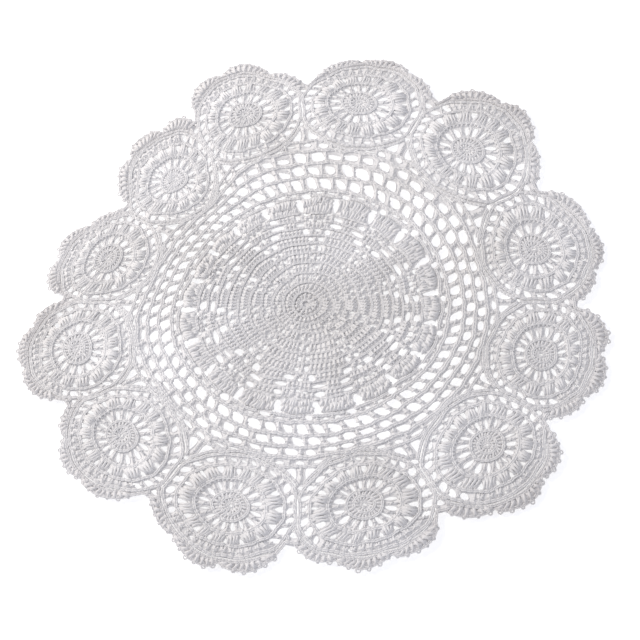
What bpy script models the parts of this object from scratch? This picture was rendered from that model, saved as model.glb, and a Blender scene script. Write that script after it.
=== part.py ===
"""A round crochet placemat of white cotton, lying flat.

Its fourteen pieces are a ground, with a ten-petalled star, a ring of fans and an open net,
twelve wheel rosettes joined round it, and an edging of picot fans round them all.

Every piece is drawn on an even plan, where a place is a direction in degrees, a share of
RIM and a height in mm. lay_out() then moves it to where the soft work really lies.
"""

import math
from collections import namedtuple

import bmesh
import bpy
from mathutils import Vector
from mathutils.geometry import delaunay_2d_cdt

# Driving sizes
MM = 0.001
RIM = 142.0  # from the star's centre to a rosette's centre, in mm
GAP = 0.0025  # between neighbouring pieces, as a share of RIM: 0.36 mm
STAR_CENTRE = (0.83, -17.76)  # in mm from the middle of the whole mat

# Counts round the mat
ROSETTES = 12
PETALS = 10
FANS = 20
COLUMNS = 60

# Directions on the plan, in degrees anticlockwise from +X
FIRST_ROSETTE = 2.0
FIRST_VALLEY = 1.25
FIRST_FAN_GAP = 9.9
FIRST_COLUMN = 4.25
ROSETTE_STEP = 360.0 / ROSETTES
PETAL_STEP = 360.0 / PETALS
FAN_STEP = 360.0 / FANS
COLUMN_STEP = 360.0 / COLUMNS

# How the soft mat lies. A row for each rosette, or each valley between petals: how far it
# is turned, in degrees, and how far out it lies, as a share of its place on the plan
Lay = namedtuple("Lay", "turn reach")
RIM_LAY = (
    Lay(-2.1, 0.991),
    Lay(3.0, 1.050),
    Lay(4.6, 1.111),
    Lay(3.7, 1.113),
    Lay(-0.2, 0.947),
    Lay(0.2, 0.963),
    Lay(-3.3, 1.028),
    Lay(-5.6, 0.973),
    Lay(-1.8, 0.960),
    Lay(0.2, 0.947),
    Lay(2.1, 0.993),
    Lay(-1.4, 1.005),
)
STAR_LAY = (
    Lay(-1.2, 0.997),
    Lay(1.2, 0.985),
    Lay(3.7, 1.007),
    Lay(2.6, 0.999),
    Lay(0.1, 1.010),
    Lay(-2.7, 1.047),
    Lay(-3.2, 1.000),
    Lay(-0.1, 0.963),
    Lay(1.9, 0.972),
    Lay(0.5, 1.014),
)
STAR_LAY_ENDS = 0.56  # the mat lies as the star does out to here
RIM_LAY_STARTS = 0.80  # and as the rosettes do from here on

# How much further out the edge is drawn, or how far it is curled in, as a share: a row for
# each rosette and one for each joint between two. It starts at the rosettes' centres
EDGE_REACH = (
    0.008,
    -0.003,
    0.034,
    0.015,
    -0.014,
    -0.038,
    0.000,
    0.024,
    0.029,
    -0.062,
    -0.020,
    -0.009,
    -0.018,
    -0.021,
    -0.008,
    -0.029,
    -0.014,
    -0.008,
    -0.019,
    -0.001,
    -0.010,
    -0.016,
    -0.024,
    -0.007,
)
EDGE_REACH_ROUND = 0.22  # how far out it grows to its full share

# The star and its ring of fans, as shares of RIM
ROUNDS = 9
ROUND = 0.052
FanGap = namedtuple("FanGap", "radius half_width")
FAN_GAP = (FanGap(0.492, 0.7), FanGap(0.525, 1.5), FanGap(0.550, 1.9))
FAN_CREST = 0.525

# The net. A row for each round of holes: where it starts and ends, how far it is turned
# and leans, in degrees, and how near to a rosette's middle its holes are pressed shut
NetRow = namedtuple("NetRow", "inner outer turn lean shut")
NET = (
    NetRow(0.594, 0.639, -1.8, 2.2, 0.0),
    NetRow(0.656, 0.693, -2.6, 1.2, 0.0),
    NetRow(0.708, 0.742, -3.6, 0.8, 6.0),
)
NET_HOLE = 4.1  # degrees
# One of the two large holes under the place where two rosettes meet: degrees, radius
TEARDROP = ((0.75, 0.784), (3.9, 0.784), (3.7, 0.806), (2.2, 0.838), (0.75, 0.862))
GROUND_TIP = 0.918

# A rosette, from its own centre, as shares of RIM
DEPTH = 0.232  # along the mat's radius
WIDTH = 0.268  # across it, before its neighbours flatten it
SQUASH = 0.93  # of its rounds, along the mat's radius
OUTLINE_POINTS = 32
TOUCH = 112.5  # from this direction inwards it meets the ground
WHEEL_GAPS = 8
WHEEL_GAP = 24.0  # degrees
HUB = 0.072
SPOKE_END = 0.127

# Heights above the table, in mm
CHAIN = 1.8
EDGE = 2.0
FLAT = 2.2
CROWN = 2.8  # of a petal or a fan
RIDGE = 0.4  # of a round, above the valley beside it

# The raised rounds of a rosette: their radius, points, and two heights in turn
RosetteRound = namedtuple("RosetteRound", "radius points height next_height")
ROSETTE_ROUNDS = (
    RosetteRound(0.036, 8, CROWN, CROWN),
    RosetteRound(0.064, 16, FLAT, FLAT),
    RosetteRound(0.141, 16, 3.0, 3.0),
    RosetteRound(0.158, 16, FLAT, FLAT),
    RosetteRound(0.182, 32, 3.0, 2.3),
    RosetteRound(0.212, 32, 2.7, EDGE),
)

# The edging's fans, three on each rosette, from the rosette's centre
EDGE_FANS = (-49.0, 0.0, 49.0)  # the middle of each, in degrees, before its turn
EDGE_FAN = 49.0  # degrees wide
FAN_FOOT = 0.015  # how far it stands out from the rosette at its feet
FAN_RISE = 0.048  # and how much further at its crest
FAN_FULLNESS = 0.6  # its outline is rounder than a sine wave by this power
FAN_RIDGE = 0.5  # its highest place, as a share of the way out to its crest
PICOTS = 5
PICOT = 0.010
NOTCH = 1.130  # the edging's outer edge between two rosettes
NOTCH_TURN = -2.0  # degrees from their joint, since every fan leans that way
NOTCH_WIDTH = 1.2  # degrees, from there to the next fan
EDGING_TIP = 1.050  # and its inner edge there

# How the edging lies. A row for each rosette: how far its fans are turned, in degrees, and
# how much of their rise lies flat, since some curl in and some are drawn out
EdgeLay = namedtuple("EdgeLay", "turn rise")
EDGE_LAY = (
    EdgeLay(-13.3, 0.76),
    EdgeLay(-14.7, 0.84),
    EdgeLay(-16.7, 0.62),
    EdgeLay(-14.4, 1.11),
    EdgeLay(-10.2, 1.30),
    EdgeLay(-12.3, 0.89),
    EdgeLay(-13.7, 0.74),
    EdgeLay(-13.9, 0.66),
    EdgeLay(-15.0, 0.77),
    EdgeLay(-13.8, 0.75),
    EdgeLay(-16.0, 0.86),
    EdgeLay(-10.4, 0.99),
)

WHITE_YARN = (0.70, 0.71, 0.74, 1.0)
SHADED_YARN = (0.64, 0.65, 0.68, 1.0)
YARN_ROUGHNESS = 0.9
HOLES_LEFT_OPEN = 2  # the triangulation's kind that fills loops but not loops inside them
CLOSE = 1e-6  # mm


def smooth(share):
    """Returns 0 to 1 for 0 to 1, level at both ends."""
    share = min(max(share, 0.0), 1.0)
    return share * share * (3.0 - 2.0 * share)


def between(one, two, share):
    """Returns the row that lies a share of the way from one row to another."""
    return Lay(*(a + (b - a) * share for a, b in zip(one, two)))


def lay_at(rows, first, degrees):
    """Returns how the mat lies in a direction, from evenly spaced rows."""
    place = (degrees - first) * len(rows) / 360.0
    low = math.floor(place)
    return between(rows[low % len(rows)], rows[(low + 1) % len(rows)], smooth(place - low))


def edge_reach_at(degrees):
    """Returns how much further out the edge is drawn in a direction, as a share."""
    place = (degrees - FIRST_ROSETTE) * len(EDGE_REACH) / 360.0
    low = math.floor(place)
    one, two = (EDGE_REACH[(low + i) % len(EDGE_REACH)] for i in (0, 1))
    return one + (two - one) * smooth(place - low)


def lay_out(degrees, radius):
    """Moves a place on the even plan to where the mat lies, as x and y in mm."""
    as_star = lay_at(STAR_LAY, FIRST_VALLEY, degrees)
    as_rim = lay_at(RIM_LAY, FIRST_ROSETTE, degrees)
    outward = smooth((radius - STAR_LAY_ENDS) / (RIM_LAY_STARTS - STAR_LAY_ENDS))
    lay = between(as_star, as_rim, outward)
    angle = math.radians(degrees + lay.turn)
    drawn = edge_reach_at(degrees) * smooth((radius - 1.0) / EDGE_REACH_ROUND)
    length = radius * lay.reach * (1.0 + drawn) * RIM
    return STAR_CENTRE[0] + length * math.cos(angle), STAR_CENTRE[1] + length * math.sin(angle)


def on_rosette(number, degrees, distance, height):
    """Returns a place on the plan from one about a rosette's centre, 0 degrees outward."""
    angle = math.radians(degrees)
    outward = 1.0 + distance * math.cos(angle)
    across = distance * math.sin(angle)
    direction = FIRST_ROSETTE + number * ROSETTE_STEP + math.degrees(math.atan2(across, outward))
    return direction, math.hypot(outward, across), height


def oval(degrees, depth, width):
    """Returns the distance from an oval's centre to its edge in one direction."""
    angle = math.radians(degrees)
    return 1.0 / math.hypot(math.cos(angle) / depth, math.sin(angle) / width)


def rosette_edge(degrees):
    """Returns how far out a rosette reaches, where its neighbours may flatten it."""
    half_step = math.radians(ROSETTE_STEP / 2)
    past_joint = math.sin(math.radians(abs(degrees)) - half_step)
    reach = oval(degrees, DEPTH, WIDTH)
    if past_joint <= 0.0:
        return reach
    return min(reach, (math.sin(half_step) - GAP / 2) / past_joint)


def steps_between(start, end):
    """Returns the directions of a rosette's outline points between two of them."""
    step = 360.0 / OUTLINE_POINTS
    return [step * i for i in range(round(start / step) + 1, round(end / step))]


def beside_rosette(number, start, end, height):
    """Returns places a gap away from a rosette's outline, from start to end degrees."""
    return [
        on_rosette(number, degrees, oval(degrees, DEPTH + GAP, WIDTH + GAP), height)
        for degrees in steps_between(start, end)
    ]


def joint(number, radius, height):
    """Returns a place on the line where a rosette meets the next one."""
    return FIRST_ROSETTE + (number + 0.5) * ROSETTE_STEP, radius, height


def net_gaps():
    """Returns the net's open holes, a loop for each."""
    gaps = []
    half = NET_HOLE / 2
    for row in NET:
        for column in range(COLUMNS):
            middle = FIRST_COLUMN + row.turn + column * COLUMN_STEP
            off_rosette = (middle - FIRST_ROSETTE + ROSETTE_STEP / 2) % ROSETTE_STEP - ROSETTE_STEP / 2
            if abs(off_rosette) < row.shut:
                continue
            inner = [(middle - half, row.inner, CHAIN), (middle + half, row.inner, CHAIN)]
            leaning = middle + row.lean
            outer = [(leaning + half, row.outer, CHAIN), (leaning - half, row.outer, CHAIN)]
            gaps.append(inner + outer)
    return gaps


def fan_gaps():
    """Returns the holes between the fans round the star, a loop for each."""
    gaps = []
    for i in range(FANS):
        middle = FIRST_FAN_GAP + i * FAN_STEP
        one_side = [(middle + at.half_width, at.radius, EDGE) for at in FAN_GAP]
        other_side = [(middle - at.half_width, at.radius, EDGE) for at in reversed(FAN_GAP)]
        gaps.append(one_side + other_side)
    return gaps


def joint_gaps():
    """Returns the two large holes inside each joint of two rosettes."""
    gaps = []
    for number in range(ROSETTES):
        middle = joint(number, GROUND_TIP, CHAIN)[0]
        for side in (1, -1):
            gaps.append([(middle + side * away, radius, CHAIN) for away, radius in TEARDROP])
    return gaps


def star_relief():
    """Returns raised points: a ridge for each round of the star, and a crown for each fan."""
    points = [(0.0, 0.0, FLAT)]
    for i in range(1, 2 * ROUNDS + 1):
        ridge = RIDGE * (i % 2)
        for j in range(2 * PETALS):
            height = (CROWN if j % 2 else FLAT) - RIDGE + ridge
            points.append((FIRST_VALLEY + j * PETAL_STEP / 2, i * ROUND / 2, height))
    for i in range(FANS):
        points.append((FIRST_FAN_GAP + (i + 0.5) * FAN_STEP, FAN_CREST, CROWN))
    return points


def wheel_gaps(number):
    """Returns the open gaps between a rosette's spokes, a loop for each."""
    gaps = []
    half = WHEEL_GAP / 2
    for i in range(WHEEL_GAPS):
        middle = i * 360.0 / WHEEL_GAPS
        corners = (
            (middle - half, HUB),
            (middle + half, HUB),
            (middle + half, SPOKE_END),
            (middle, SPOKE_END),
            (middle - half, SPOKE_END),
        )
        gaps.append([rosette_round_place(number, at, radius, EDGE) for at, radius in corners])
    return gaps


def rosette_round_place(number, degrees, radius, height):
    """Returns a place on one of a rosette's rounds, which are squashed a little."""
    return on_rosette(number, degrees, oval(degrees, radius * SQUASH, radius), height)


def rosette_relief(number):
    """Returns a rosette's raised points: its hub, its ring and its shells."""
    points = [rosette_round_place(number, 0.0, 0.001, FLAT)]
    for turn in ROSETTE_ROUNDS:
        for i in range(turn.points):
            height = turn.next_height if i % 2 else turn.height
            points.append(rosette_round_place(number, i * 360.0 / turn.points, turn.radius, height))
    return points


def on_edging(number, degrees, rise, height):
    """Returns a place on the edging, a share of its fans' rise out from a rosette."""
    stand = FAN_FOOT + FAN_RISE * EDGE_LAY[number].rise * rise
    degrees += EDGE_LAY[number].turn
    return on_rosette(number, degrees, oval(degrees, DEPTH, WIDTH) + stand, height)


def edge_fan_places(number, middle):
    """Returns a fan's outer edge, with its picots, up to but not including its end."""
    places = []
    for i in range(2 * PICOTS):
        share = i / (2 * PICOTS)
        rise = math.sin(math.pi * share) ** FAN_FULLNESS + PICOT / FAN_RISE * (i % 2)
        places.append(on_edging(number, middle + (share - 0.5) * EDGE_FAN, rise, EDGE))
    return places


def ground_loops():
    """Returns the ground's outline and its gaps."""
    outline = []
    for number in range(ROSETTES):
        outline += reversed(beside_rosette(number, TOUCH, 360.0 - TOUCH, CHAIN))
        outline.append(joint(number, GROUND_TIP, CHAIN))
    return [outline] + fan_gaps() + net_gaps() + joint_gaps()


def rosette_loops(number):
    """Returns a rosette's outline and its gaps."""
    outline = [
        on_rosette(number, degrees - 180.0, rosette_edge(degrees - 180.0), EDGE)
        for degrees in steps_between(0.0, 360.0) + [360.0]
    ]
    return [outline] + wheel_gaps(number)


def edging_loops():
    """Returns the edging's outer and inner edges."""
    outer, inner = [], []
    for number in range(ROSETTES):
        before = joint(number - 1, NOTCH, EDGE)[0] + NOTCH_TURN + NOTCH_WIDTH
        for middle in EDGE_FANS:
            places = edge_fan_places(number, middle)
            outer += [at for at in places if at[0] > before and at[1] > NOTCH]
        outer.append(on_edging(number, EDGE_FANS[-1] + EDGE_FAN / 2, 0.0, EDGE))
        outer.append((joint(number, NOTCH, EDGE)[0] + NOTCH_TURN, NOTCH, EDGE))
        inner += beside_rosette(number, -90.0, 90.0, EDGE)
        inner.append(joint(number, EDGING_TIP, EDGE))
    return [outer, inner]


def edging_relief():
    """Returns a raised point on each fan of the edging."""
    return [
        on_edging(number, middle, FAN_RIDGE, CROWN)
        for number in range(ROSETTES)
        for middle in EDGE_FANS
    ]


def filled(places, loops):
    """Returns the triangles that fill the first loop but not those inside it."""
    flat = [Vector(lay_out(direction, radius)) for direction, radius, height in places]
    found = delaunay_2d_cdt(flat, [], loops, HOLES_LEFT_OPEN, CLOSE)
    triangles, origins = found[2], found[3]
    return [[origins[corner][0] for corner in triangle] for triangle in triangles]


def make_piece(name, loops, relief, material, collection):
    """Makes one flat-bottomed piece, its top raised at the relief's points."""
    rim_places = [place for loop in loops for place in loop]
    places = rim_places + relief
    corners = iter(range(len(rim_places)))
    numbered = [[next(corners) for place in loop] for loop in loops]
    work = bmesh.new()
    top, base = [], []
    for direction, radius, height in places:
        x, y = lay_out(direction, radius)
        top.append(work.verts.new((x * MM, y * MM, height * MM)))
    for vertex in top[: len(rim_places)]:
        base.append(work.verts.new((vertex.co.x, vertex.co.y, 0.0)))
    for triangle in filled(places, numbered):
        work.faces.new([top[corner] for corner in triangle])
    for triangle in filled(rim_places, numbered):
        work.faces.new([base[corner] for corner in reversed(triangle)])
    for loop in numbered:
        for start, end in zip(loop, loop[1:] + loop[:1]):
            work.faces.new((top[end], top[start], base[start], base[end]))
    bmesh.ops.recalc_face_normals(work, faces=work.faces)
    mesh = bpy.data.meshes.new(name)
    work.to_mesh(mesh)
    work.free()
    mesh.materials.append(material)
    collection.objects.link(bpy.data.objects.new(name, mesh))


def make_yarn(name, colour):
    """Makes the material of one of the mat's cotton yarns."""
    material = bpy.data.materials.new(name)
    material.use_nodes = True
    shader = material.node_tree.nodes["Principled BSDF"]
    shader.inputs["Base Color"].default_value = colour
    shader.inputs["Roughness"].default_value = YARN_ROUGHNESS
    shader.inputs["Metallic"].default_value = 0.0
    return material


def clear_scene():
    """Removes everything that the scene holds."""
    for item in list(bpy.data.objects):
        bpy.data.objects.remove(item, do_unlink=True)


def main():
    """Builds the placemat."""
    clear_scene()
    collection = bpy.data.collections.new("crochet_placemat")
    bpy.context.scene.collection.children.link(collection)
    white = make_yarn("white_cotton_yarn", WHITE_YARN)
    shaded = make_yarn("shaded_cotton_yarn", SHADED_YARN)
    make_piece("ground", ground_loops(), star_relief(), white, collection)
    for number in range(ROSETTES):
        name = f"rosette_{number + 1:02d}"
        make_piece(name, rosette_loops(number), rosette_relief(number), white, collection)
    make_piece("edging", edging_loops(), edging_relief(), shaded, collection)


if __name__ == "__main__":
    main()
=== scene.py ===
"""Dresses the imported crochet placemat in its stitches, on a plain pale table.

The mat is worked in white cotton: a ten-petalled star, a ring of fans, an open net, twelve
wheel rosettes and an edging of picot fans. Every place is drawn on an even plan, as a
direction in degrees, a share of the rim and a height in mm, and laid out from there to where
the soft work really lies. Each CAD piece is replaced by a thin cloth with all its holes, and
by the yarn that is worked through it, stitch by stitch.
"""

import logging
import math
from dataclasses import dataclass, field
from enum import Enum

import bpy
import numpy as np
from mathutils import Matrix, Vector
from mathutils.geometry import delaunay_2d_cdt


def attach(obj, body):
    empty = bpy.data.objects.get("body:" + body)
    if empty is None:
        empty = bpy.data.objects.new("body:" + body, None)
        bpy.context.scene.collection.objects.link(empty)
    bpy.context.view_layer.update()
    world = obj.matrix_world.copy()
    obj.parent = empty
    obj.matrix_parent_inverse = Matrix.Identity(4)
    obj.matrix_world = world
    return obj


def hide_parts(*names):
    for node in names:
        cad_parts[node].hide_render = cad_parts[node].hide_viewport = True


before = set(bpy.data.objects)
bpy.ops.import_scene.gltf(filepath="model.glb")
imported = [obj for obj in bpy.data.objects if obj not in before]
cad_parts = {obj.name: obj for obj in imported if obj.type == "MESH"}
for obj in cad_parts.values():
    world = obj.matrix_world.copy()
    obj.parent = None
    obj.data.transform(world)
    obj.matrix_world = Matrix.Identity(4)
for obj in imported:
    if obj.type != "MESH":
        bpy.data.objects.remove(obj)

MM = 0.001
BODY = "root"
SEED = 12
HOLES_LEFT_OPEN = 2  # the triangulation's kind that fills loops but not loops inside them
CLOSE = 1e-6  # mm
TINY = 1e-9  # mm
COVERED = 0.3  # mm, how far the yarn round a hole hides the edge of its cloth
THIN_RIM = 0.45  # mm, the radius of the yarn round the holes of the rosettes and edging
# How far a small hole and its edge stray: degrees, share of the rim
SLOT_STRAY = (0.3, 0.0015)
SLOT_ROUGH = (0.12, 0.0007)
SLOT_SIZES = (0.6, 1.5)  # the least and the most of its size, as shares
SLOT_POINTS = 10

logging.basicConfig(level=logging.INFO, format="%(message)s")
log = logging.getLogger("placemat")


class Slot(Enum):
    """The names of two material slots."""

    MAT = "cotton_yarn"
    EDGING = "edging_yarn"


@dataclass(frozen=True)
class Lay:
    """How the mat lies in one direction: its turn in degrees and its reach as a share."""

    turn: float
    reach: float


@dataclass(frozen=True)
class EdgeLay:
    """How the edging lies at one rosette: its turn in degrees and its share of full rise."""

    turn: float
    rise: float


@dataclass(frozen=True)
class Wave:
    """A slow wave in the lie of the cloth: its length in mm, heading, phase and swing."""

    length: float
    heading: float
    phase: float
    swing: float


# One row for each rosette, anticlockwise from the first
RIM_LAY = (
    Lay(-2.1, 0.991), Lay(3.0, 1.050), Lay(4.6, 1.111), Lay(3.7, 1.113),
    Lay(-0.2, 0.947), Lay(0.2, 0.963), Lay(-3.3, 1.028), Lay(-5.6, 0.973),
    Lay(-1.8, 0.960), Lay(0.2, 0.947), Lay(2.1, 0.993), Lay(-1.4, 1.005),
)
# One row for each valley between petals
STAR_LAY = (
    Lay(-1.2, 0.997), Lay(1.2, 0.985), Lay(3.7, 1.007), Lay(2.6, 0.999), Lay(0.1, 1.010),
    Lay(-2.7, 1.047), Lay(-3.2, 1.000), Lay(-0.1, 0.963), Lay(1.9, 0.972), Lay(0.5, 1.014),
)
# How the petals themselves are skewed on the star, on top of how it lies
PETAL_LAY = (
    Lay(-2.3, 0.965), Lay(-2.5, 0.945), Lay(-1.5, 0.945), Lay(0.5, 1.000), Lay(0.5, 1.010),
    Lay(-1.0, 1.000), Lay(-1.2, 1.000), Lay(-1.5, 0.990), Lay(-0.2, 0.995), Lay(-0.5, 1.000),
)
# Two rows for each rosette: how far its outer edge reaches
EDGE_REACH = (
    Lay(0.0, 1.008), Lay(0.0, 0.997), Lay(0.0, 1.034), Lay(0.0, 1.015),
    Lay(0.0, 0.986), Lay(0.0, 0.962), Lay(0.0, 1.000), Lay(0.0, 1.024),
    Lay(0.0, 1.029), Lay(0.0, 0.938), Lay(0.0, 0.980), Lay(0.0, 0.991),
    Lay(0.0, 0.982), Lay(0.0, 0.979), Lay(0.0, 0.992), Lay(0.0, 0.971),
    Lay(0.0, 0.986), Lay(0.0, 0.992), Lay(0.0, 0.981), Lay(0.0, 0.999),
    Lay(0.0, 0.990), Lay(0.0, 0.984), Lay(0.0, 0.976), Lay(0.0, 0.993),
)
# One row for each rosette
EDGE_LAY = (
    EdgeLay(-13.3, 0.76), EdgeLay(-14.7, 0.84), EdgeLay(-16.7, 0.62), EdgeLay(-14.4, 1.11),
    EdgeLay(-10.2, 1.30), EdgeLay(-12.3, 0.89), EdgeLay(-13.7, 0.74), EdgeLay(-13.9, 0.66),
    EdgeLay(-15.0, 0.77), EdgeLay(-13.8, 0.75), EdgeLay(-16.0, 0.86), EdgeLay(-10.4, 0.99),
)
# How the stitches stray on the table, and how the cloth lifts off it
DRIFT = (
    Wave(61.0, 20.0, 0.4, 0.10), Wave(19.0, 75.0, 2.1, 0.26),
    Wave(13.0, 130.0, 4.0, 0.20), Wave(27.0, 170.0, 5.2, 0.24),
)
LIFT = (
    Wave(88.0, 35.0, 0.9, 0.30), Wave(53.0, 110.0, 3.3, 0.22), Wave(34.0, 160.0, 1.7, 0.15),
)
# The yarn wrapped round a post: its share of the length and of the width, and height in mm
WRAP = np.array([(0.42, -0.5, 1.2), (0.54, 0.0, 2.05), (0.66, 0.5, 1.2)])
# One side of a link: its share of the length and of the half width, and height in mm
LINK = np.array([(-0.25, 0.0, 1.1), (0.2, 0.95, 1.6), (0.7, 1.0, 1.75), (1.2, -0.1, 1.2)])


def smooth(share: np.ndarray) -> np.ndarray:
    """Returns 0 to 1 for 0 to 1, level at both ends."""
    share = np.clip(share, 0.0, 1.0)
    return share * share * (3.0 - 2.0 * share)


def about_zero(degrees: np.ndarray, cycle: float = 360.0) -> np.ndarray:
    """Brings directions into the half cycle to each side of zero."""
    return (degrees + cycle / 2.0) % cycle - cycle / 2.0


def all_round(count: int) -> np.ndarray:
    """Returns evenly spaced directions in degrees, from 0."""
    return np.arange(count) * 360.0 / count


def at(degrees: np.ndarray | float, radius: np.ndarray | float) -> np.ndarray:
    """Joins directions and shares of the rim to places on the plan."""
    return np.stack(np.broadcast_arrays(degrees, radius), axis=-1)


def unit(arrows: np.ndarray) -> np.ndarray:
    """Gives arrows a length of one."""
    return arrows / np.maximum(np.linalg.norm(arrows, axis=-1, keepdims=True), TINY)


def sideways(arrows: np.ndarray) -> np.ndarray:
    """Returns arrows of length one on the table, square to those given."""
    return unit(np.stack([-arrows[..., 1], arrows[..., 0]], axis=-1))


def oval(degrees: np.ndarray, depth: np.ndarray, width: np.ndarray) -> np.ndarray:
    """Returns the distance from an oval's centre to its edge in each direction."""
    angle = np.radians(degrees)
    return 1.0 / np.hypot(np.cos(angle) / depth, np.sin(angle) / width)


def waves(places: np.ndarray, table: tuple[Wave, ...]) -> np.ndarray:
    """Adds up slow waves at places in mm.

    Args:
        places: x and y in mm, in the last axis.
        table: the waves.

    Returns:
        One sum for each place, in mm.
    """
    total = np.zeros(places.shape[:-1])
    for wave in table:
        heading = math.radians(wave.heading)
        along = places[..., 0] * math.cos(heading) + places[..., 1] * math.sin(heading)
        total += wave.swing * np.sin(2.0 * math.pi * along / wave.length + wave.phase)
    return total


@dataclass(frozen=True)
class Plan:
    """The mat's even plan, and how the soft work lies on the table.

    Its rim, shifts and lifts are in mm, its directions in degrees, and the rest are shares
    of the rim.
    """

    rim: float = 142.0
    star_centre: tuple[float, float] = (0.83, -17.76)
    first_rosette: float = 2.0
    first_valley: float = 1.25
    star_lay_ends: float = 0.56
    rim_lay_starts: float = 0.80
    gap: float = 0.0025
    rosettes: int = 12
    depth: float = 0.232
    width: float = 0.268
    squash: float = 0.84
    edge_reach_round: float = 0.22
    hub_shift: tuple[float, float] = (-3.6, -1.0)
    hub_shift_ends: float = 0.22
    slip: tuple[float, float] = (0.9, -1.2)
    slip_fades: float = 0.76
    slip_ends: float = 0.95
    petal_lay_ends: float = 0.56
    petal_lay_fades: float = 0.46
    fan_foot: float = 0.015
    fan_rise: float = 0.048
    lift_least: float = 0.1

    @property
    def rosette_step(self) -> float:
        """Degrees from one rosette to the next."""
        return 360.0 / self.rosettes

    def lay_at(self, rows: tuple[Lay, ...], first: float, degrees: np.ndarray) -> np.ndarray:
        """Reads how the mat lies in some directions from evenly spaced rows.

        Args:
            rows: turn and reach, anticlockwise.
            first: the first row's direction, in degrees.
            degrees: the directions.

        Returns:
            Turn and reach in the last axis.
        """
        table = np.array([(row.turn, row.reach) for row in rows])
        place = (degrees - first) * len(rows) / 360.0
        low = np.floor(place).astype(int)
        share = smooth(place - low)[..., None]
        return table[low % len(rows)] * (1.0 - share) + table[(low + 1) % len(rows)] * share

    def lay_out(self, places: np.ndarray) -> np.ndarray:
        """Moves places on the plan to where the mat lies.

        Args:
            places: direction in degrees and share of the rim, in the last axis.

        Returns:
            x and y in mm.
        """
        degrees, radius = places[..., 0], places[..., 1]
        as_star = self.lay_at(STAR_LAY, self.first_valley, degrees)
        as_rim = self.lay_at(RIM_LAY, self.first_rosette, degrees)
        span = self.rim_lay_starts - self.star_lay_ends
        outward = smooth((radius - self.star_lay_ends) / span)[..., None]
        lay = as_star * (1.0 - outward) + as_rim * outward
        petals = self.lay_at(PETAL_LAY, self.first_valley, degrees) - (0.0, 1.0)
        fading = (self.petal_lay_ends - radius) / (self.petal_lay_ends - self.petal_lay_fades)
        edge = self.lay_at(EDGE_REACH, self.first_rosette, degrees) - (0.0, 1.0)
        drawn = edge * smooth((radius - 1.0) / self.edge_reach_round)[..., None]
        loose = petals * smooth(fading)[..., None] + drawn
        angle = np.radians(degrees + lay[..., 0] + loose[..., 0])
        length = radius * lay[..., 1] * (1.0 + loose[..., 1]) * self.rim
        even = np.stack([length * np.cos(angle), length * np.sin(angle)], axis=-1)
        hub = (1.0 - smooth(radius / self.hub_shift_ends))[..., None]
        past = (radius - self.slip_fades) / (self.slip_ends - self.slip_fades)
        slipped = (1.0 - smooth(past))[..., None] * np.array(self.slip)
        even = even + np.array(self.star_centre) + hub * np.array(self.hub_shift) + slipped
        drift = np.stack([waves(even, DRIFT), waves(even[..., ::-1], DRIFT)], axis=-1)
        return even + drift

    def lift(self, flat: np.ndarray) -> np.ndarray:
        """Returns how far the cloth stands off the table at places in mm."""
        highest = sum(wave.swing for wave in LIFT)
        return self.lift_least + highest + waves(flat, LIFT)

    def on_rosette(self, number: int, degrees: np.ndarray, distance: np.ndarray) -> np.ndarray:
        """Turns places about a rosette's centre into places on the plan.

        Args:
            number: the rosette, from 0.
            degrees: directions from its centre, 0 being outward from the mat.
            distance: distances from its centre, as shares of the rim.

        Returns:
            Direction and share of the rim, in the last axis.
        """
        angle = np.radians(degrees)
        outward = 1.0 + distance * np.cos(angle)
        across = distance * np.sin(angle)
        middle = self.first_rosette + number * self.rosette_step
        direction = middle + np.degrees(np.arctan2(across, outward))
        return np.stack([direction, np.hypot(outward, across)], axis=-1)

    def on_round(self, number: int, degrees: np.ndarray, radius: np.ndarray) -> np.ndarray:
        """Turns places on a rosette's squashed rounds into places on the plan."""
        return self.on_rosette(number, degrees, oval(degrees, radius * self.squash, radius))

    def along_rosette(self, number: int, degrees: np.ndarray) -> np.ndarray:
        """Returns places on the plan just off a rosette's edge, where its neighbours end."""
        reach = oval(degrees, self.depth + self.gap, self.width + self.gap)
        return self.on_rosette(number, degrees, reach)

    def rosette_edge(self, degrees: np.ndarray) -> np.ndarray:
        """Returns how far out a rosette reaches, flattened where it meets its neighbours.

        Args:
            degrees: directions from its centre.

        Returns:
            Distances from its centre, as shares of the rim.
        """
        half_step = math.radians(self.rosette_step / 2.0)
        from_outward = np.abs(about_zero(np.asarray(degrees)))
        past_joint = np.sin(np.radians(from_outward) - half_step)
        reach = oval(degrees, self.depth, self.width)
        meeting = (math.sin(half_step) - self.gap / 2.0) / np.maximum(past_joint, 1e-6)
        return np.where(past_joint > 0.0, np.minimum(reach, meeting), reach)

    def on_edging(self, number: int, degrees: np.ndarray, rise: np.ndarray) -> np.ndarray:
        """Turns places on the edging into places on the plan.

        Args:
            number: the rosette that the place is beside, from 0.
            degrees: directions from the rosette's centre, before the edging's turn.
            rise: shares of the fans' rise, 0 at their feet and 1 at their crests.

        Returns:
            Direction and share of the rim, in the last axis.
        """
        lay = EDGE_LAY[number]
        stand = self.fan_foot + self.fan_rise * lay.rise * np.asarray(rise)
        turned = np.asarray(degrees) + lay.turn
        return self.on_rosette(number, turned, oval(turned, self.depth, self.width) + stand)


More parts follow.
